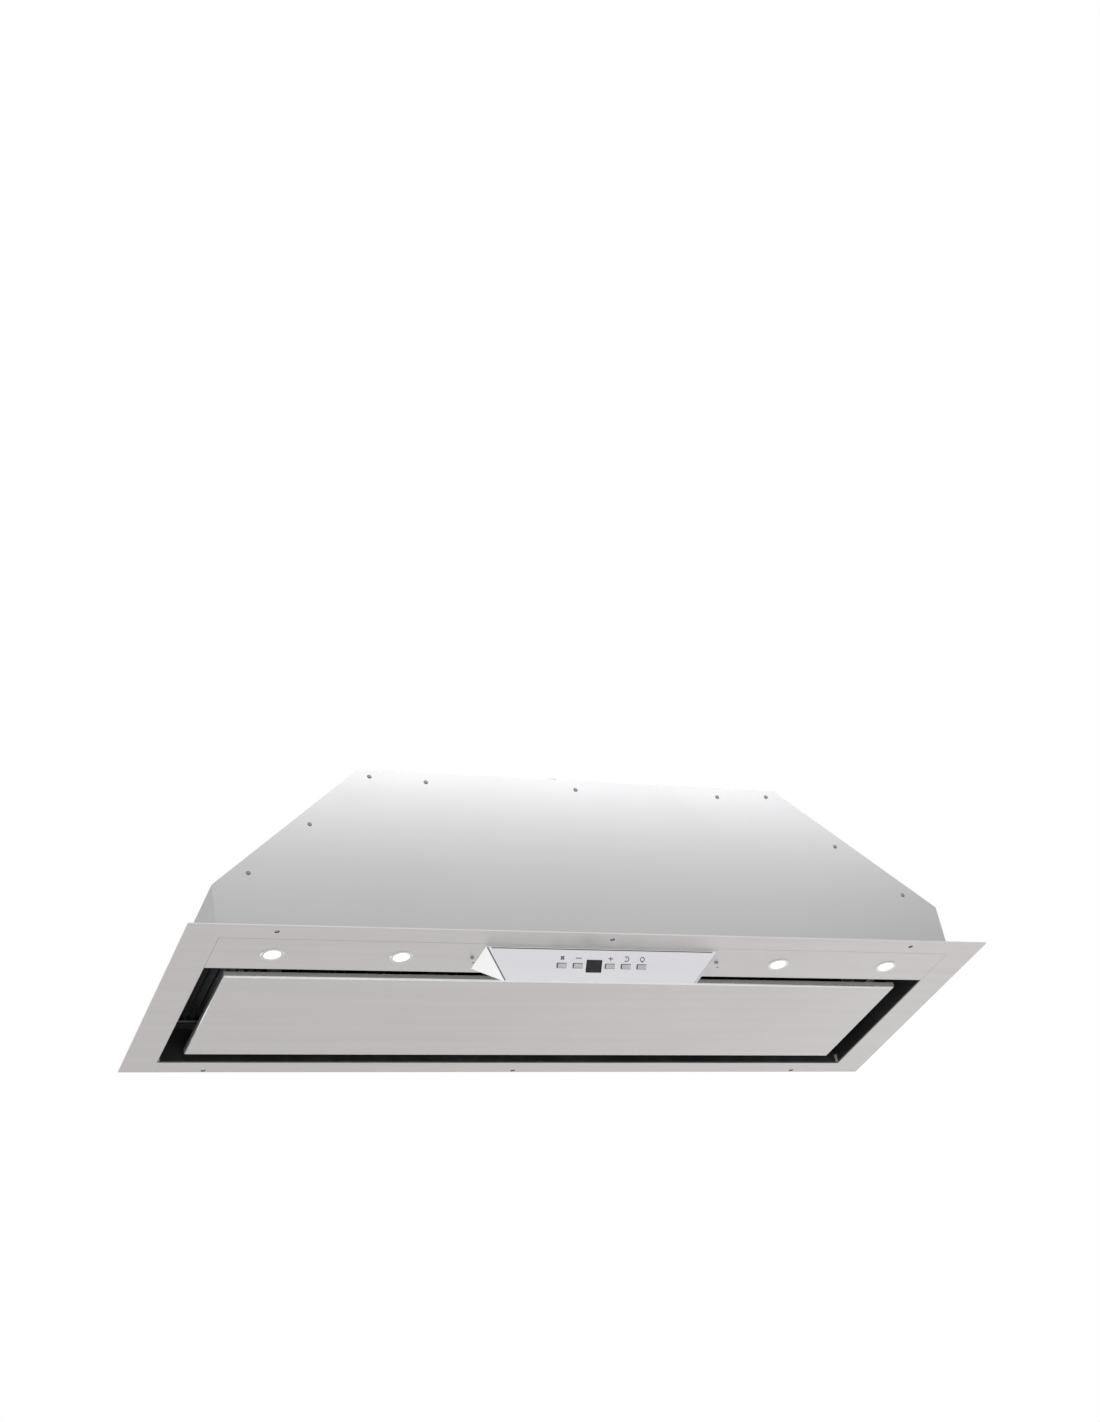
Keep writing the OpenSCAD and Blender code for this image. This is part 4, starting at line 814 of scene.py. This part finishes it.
def build_bent_copy(name, radius, materials, body):
    """A copy of a folded sheet whose lower outer bends are rounded, standing for the node.

    Its materials are those of the face, then of the bends and the outer sides of the folds, first
    along the hood and then across it: lit and shaded copies of the steel, with a painted highlight
    on the long bends, painted light on the long folds and painted shade on the side bends and
    folds.
    """
    low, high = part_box(name)
    middle = (low + high) / 2
    bm = bmesh.new()
    bm.from_mesh(NODES[name].data)
    bmesh.ops.remove_doubles(bm, verts=bm.verts, dist=0.001 * MM)
    bmesh.ops.dissolve_limit(bm, angle_limit=math.radians(0.5), verts=bm.verts, edges=bm.edges)
    bm.normal_update()
    bends = []
    for edge in bm.edges:
        if len(edge.link_faces) != 2 or any(v.co.z > low.z + 0.01 * MM for v in edge.verts):
            continue
        sides = [f.normal for f in edge.link_faces]
        below = [n for n in sides if n.z < -0.99]
        outward = [n for n in sides if abs(n.z) < 0.05 and n.dot(edge.verts[0].co - middle) > 0]
        if below and outward:
            bends.append(edge)
    rounded = bmesh.ops.bevel(bm, geom=bends, offset=radius, segments=5, profile=0.5,
                              affect="EDGES", clamp_overlap=True)
    mesh = bpy.data.meshes.new(name + "_bent")
    bm.normal_update()
    for face in bm.faces:
        from_middle = face.calc_center_median() - middle
        aside = abs(face.normal.z) < 0.05 and face.normal.dot(from_middle) > 0
        across = abs(face.normal.x) > abs(face.normal.y)
        face.material_index = (4 if across else 2) if aside else 0
        face.smooth = False
    for face in rounded["faces"]:
        face.material_index = 3 if abs(face.normal.x) > abs(face.normal.y) else 1
        face.smooth = True
    bm.to_mesh(mesh)
    bm.free()
    for material in materials:
        mesh.materials.append(material)
    made = link(name + "_bent", mesh)
    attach(made, body)
    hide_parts(name)
    return made


def build_cross_recess(name, centres, axis, size, material, body):
    """Crosses of painted shade standing for the recesses in screw heads, a hair above each head.
    """
    def build(bm):
        up = Vector(axis).normalized()
        side = up.orthogonal().normalized()
        other = up.cross(side)
        for centre in centres:
            at = Matrix.Identity(4)
            for i in range(3):
                at[i][0], at[i][1], at[i][2], at[i][3] = side[i], other[i], up[i], centre[i]
            prism(bm, bar(size, size * 0.3), at, CROSS_DEPTH)
            prism(bm, bar(size * 0.3, size), at, CROSS_DEPTH)
    mesh_object(name, build, material, body)


# Operators

class HOOD_OT_finishes(bpy.types.Operator):
    """Give every part of the frame its finish"""
    bl_idname = "hood.finishes"
    bl_label = "Finishes"

    def execute(self, context):
        by_slot, by_node = finish_for_slots(), finish_for_nodes()
        for row in frame["record"]["subparts"]:
            name, slot_name = row["node"], row["material_slot"]
            paint(name, by_node.get(name, by_slot[slot_name]))
        return {"FINISHED"}


class HOOD_OT_panel_bends(bpy.types.Operator):
    """Round the bends of the suction panel, and paint light and shade on its bends and folds with
    lit and shaded copies of the steel
    """
    bl_idname = "hood.panel_bends"
    bl_label = "Panel Bends"

    def execute(self, context):
        v = finish_values()
        face = NODES["suction_panel"].data.materials[0]
        # Lit and shaded copies of the steel: painted highlight on the long bends, painted light on
        # the long folds, painted shade on the side bends and folds
        materials = (
            face,
            polished_metal("Long Bend Painted Highlight", linear((238, 237, 236)), 0.24),
            brushed_steel("Long Fold Painted Light", linear((222, 221, 220)), 0.5, metallic=0.45),
            polished_metal("Side Bend Painted Shade", linear((206, 205, 204)), 0.3),
            brushed_steel("Side Fold Painted Shade", linear((112, 111, 111)), 0.5, metallic=0.45),
        )
        made = build_bent_copy("suction_panel", v.bend_radius, materials, "panel")
        return {"FINISHED"}


class HOOD_OT_signs(bpy.types.Operator):
    """Print the five signs above the keys"""
    bl_idname = "hood.signs"
    bl_label = "Signs"

    def execute(self, context):
        build_signs(printed_ink("Printed Ink"))
        return {"FINISHED"}


class HOOD_OT_cover_edges(bpy.types.Operator):
    """Draw the painted shade on the control cover: round its keys, by its caps and at its top"""
    bl_idname = "hood.cover_edges"
    bl_label = "Cover Edges"

    def execute(self, context):
        build_key_gap_shade(moulded_plastic("Key Gap Painted Shade", linear((74, 73, 78)), 0.6))
        build_cap_edges(moulded_plastic("Cap Edge Painted Shade", linear((116, 115, 119)), 0.6),
                        moulded_plastic("Cap Rim Painted Shade", linear((214, 212, 214)), 0.6))
        build_cover_painted_shadow(moulded_plastic("Cover Painted Shadow", linear((104, 100, 102)), 0.65))
        return {"FINISHED"}


class HOOD_OT_hole_edges(bpy.types.Operator):
    """Draw the painted shade of each fixing hole"""
    bl_idname = "hood.hole_edges"
    bl_label = "Hole Edges"

    def execute(self, context):
        build_hole_edges(moulded_plastic("Hole Painted Shade", linear((62, 60, 60)), 0.7))
        return {"FINISHED"}


class HOOD_OT_corner_joint_glints(bpy.types.Operator):
    """Lay a painted highlight on the bare edge of each rear corner joint of the opening"""
    bl_idname = "hood.corner_beads"
    bl_label = "Corner Joint Glints"

    def execute(self, context):
        build_corner_joint_glints(moulded_plastic("Corner Joint Painted Highlight", linear((165, 165, 170)), 0.5))
        return {"FINISHED"}


class HOOD_OT_recesses(bpy.types.Operator):
    """Lay the driver's cross in painted shade on the screws that show"""
    bl_idname = "hood.recesses"
    bl_label = "Screw Recesses"

    def execute(self, context):
        dark = moulded_plastic("Recess Shadow", linear((40, 40, 42)), 0.7)
        low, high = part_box("strip_screws")
        y, head = (low.y + high.y) / 2, SCREW_HEAD
        build_cross_recess("strip_screw_recess",
                           [Vector((low.x + head, y, low.z)), Vector((high.x - head, y, low.z))],
                           (0, 0, -1), STRIP_CROSS, dark, "hood")
        low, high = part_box("collar_screws")
        build_cross_recess("collar_screw_recess",
                           [Vector((x, yy, high.z)) for x in (low.x + head, high.x - head)
                            for yy in (low.y + head, high.y - head)],
                           (0, 0, 1), COLLAR_CROSS, dark, "hood")
        return {"FINISHED"}


def soft_lamp(name, at, towards, power, width, height):
    """A rectangular lamp that the camera doesn't see."""
    light = bpy.data.lights.new(name, "AREA")
    light.energy, light.shape = power, "RECTANGLE"
    light.size, light.size_y = width, height
    made = link(name, light)
    made.location = at
    made.rotation_mode = "QUATERNION"
    made.rotation_quaternion = (Vector(towards) - Vector(at)).to_track_quat("-Z", "Y")
    made.visible_camera = False


def build_world(fill):
    """Even light, which the eye and shiny surfaces see as white."""
    world = bpy.data.worlds.new("Soft Studio")
    bpy.context.scene.world = world
    world.use_nodes = True
    tree = world.node_tree
    back = tree.nodes["Background"]
    back.inputs["Color"].default_value = (1, 1, 1, 1)
    path = add(tree, "ShaderNodeLightPath", (-900, 0))
    seen = add(tree, "ShaderNodeMath", (-650, 60), operation="MAXIMUM")
    both = add(tree, "ShaderNodeMath", (-480, 0), operation="MAXIMUM")
    level = add(tree, "ShaderNodeMapRange", (-300, 0))
    level.inputs["To Min"].default_value = fill
    level.inputs["To Max"].default_value = 1.0
    join(tree, (path.outputs["Is Camera Ray"], seen.inputs[0]),
         (path.outputs["Is Glossy Ray"], seen.inputs[1]), (seen.outputs[0], both.inputs[0]),
         (path.outputs["Is Transmission Ray"], both.inputs[1]),
         (both.outputs[0], level.inputs["Value"]),
         (level.outputs["Result"], back.inputs["Strength"]))


def build_floor(drop):
    """A pale floor well below the hood, as the hood hangs in its cabinet."""
    mesh = bpy.data.meshes.new("stage_floor")
    half = FLOOR_HALF
    mesh.from_pydata([(-half, -half, -drop), (half, -half, -drop), (half, half, -drop),
                      (-half, half, -drop)], [], [(0, 1, 2, 3)])
    made = link("stage_floor", mesh)
    material, tree, shader, where = new_material("Pale Floor", 0.9)
    cloud = place(tree, "marks", (-900, 0), where, Scale=0.6)
    tree.links.new(blend_colours(tree, cloud.outputs["Marks"], (0.86, 0.86, 0.86),
                                 (0.9, 0.9, 0.9)), shader.inputs["Base Color"])
    mesh.materials.append(material)


def build_camera():
    """The camera, solved from the photograph."""
    data = bpy.data.cameras.new("Photograph Camera")
    data.sensor_width = SENSOR
    data.lens = SENSOR * FOCAL_PIXELS / FRAME_HEIGHT
    data.clip_end = FLOOR_HALF
    camera = link("Photograph Camera", data)
    place_at = Matrix.Identity(4)
    for i in range(3):
        place_at[i][0] = CAMERA_RIGHT[i]
        place_at[i][1] = -CAMERA_DOWN[i]
        place_at[i][2] = -CAMERA_AHEAD[i]
        place_at[i][3] = CAMERA_AT[i]
    camera.matrix_world = place_at
    bpy.context.scene.camera = camera


class HOOD_OT_stage(bpy.types.Operator):
    """Set up the floor, the soft light and the camera"""
    bl_idname = "hood.stage"
    bl_label = "Stage"

    def execute(self, context):
        values = stage_values()
        build_camera()
        build_world(values.fill)
        build_floor(values.floor_drop)
        soft_lamp("Front Lamp", (0.12, -0.50, 0.56), (0.12, -0.17, 0.22),
                  values.front_power, 1.8, 0.16)
        soft_lamp("Side Lamp", (2.7, 2.5, -0.3), (2.0, 2.4, -1.65),
                  values.side_power, 1.4, 1.4)
        soft_lamp("Card", (-1.6, 1.5, -0.5), (-0.16, -0.15, 0.0),
                  values.card_power, 1.4, 1.4)
        bpy.context.scene.view_settings.view_transform = "Standard"
        return {"FINISHED"}


class HOOD_PT_panel(bpy.types.Panel):
    """Builds the hood's looks step by step"""
    bl_label = "Range Hood"
    bl_space_type = "VIEW_3D"
    bl_region_type = "UI"
    bl_category = "Range Hood"

    def draw(self, context):
        layout = self.layout
        for values in (context.scene.hood_finish, context.scene.hood_stage):
            for key in values.bl_rna.properties.keys():
                if key not in {"rna_type", "name"}:
                    layout.prop(values, key)
        for step in STEPS:
            layout.operator(step.bl_idname)


STEPS = (HOOD_OT_finishes, HOOD_OT_panel_bends, HOOD_OT_signs, HOOD_OT_cover_edges,
         HOOD_OT_hole_edges, HOOD_OT_corner_joint_glints, HOOD_OT_recesses, HOOD_OT_stage)
CLASSES = (HoodFinish, HoodStage) + STEPS + (HOOD_PT_panel,)


def register():
    for cls in CLASSES:
        bpy.utils.register_class(cls)
    bpy.types.Scene.hood_finish = PointerProperty(type=HoodFinish)
    bpy.types.Scene.hood_stage = PointerProperty(type=HoodStage)


def unregister():
    del bpy.types.Scene.hood_stage
    del bpy.types.Scene.hood_finish
    for cls in reversed(CLASSES):
        bpy.utils.unregister_class(cls)


def main():
    register()
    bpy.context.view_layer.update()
    bpy.ops.hood.finishes()
    bpy.ops.hood.panel_bends()
    bpy.ops.hood.signs()
    bpy.ops.hood.cover_edges()
    bpy.ops.hood.hole_edges()
    bpy.ops.hood.corner_beads()
    bpy.ops.hood.recesses()
    bpy.ops.hood.stage()


if __name__ == "__main__":
    main()
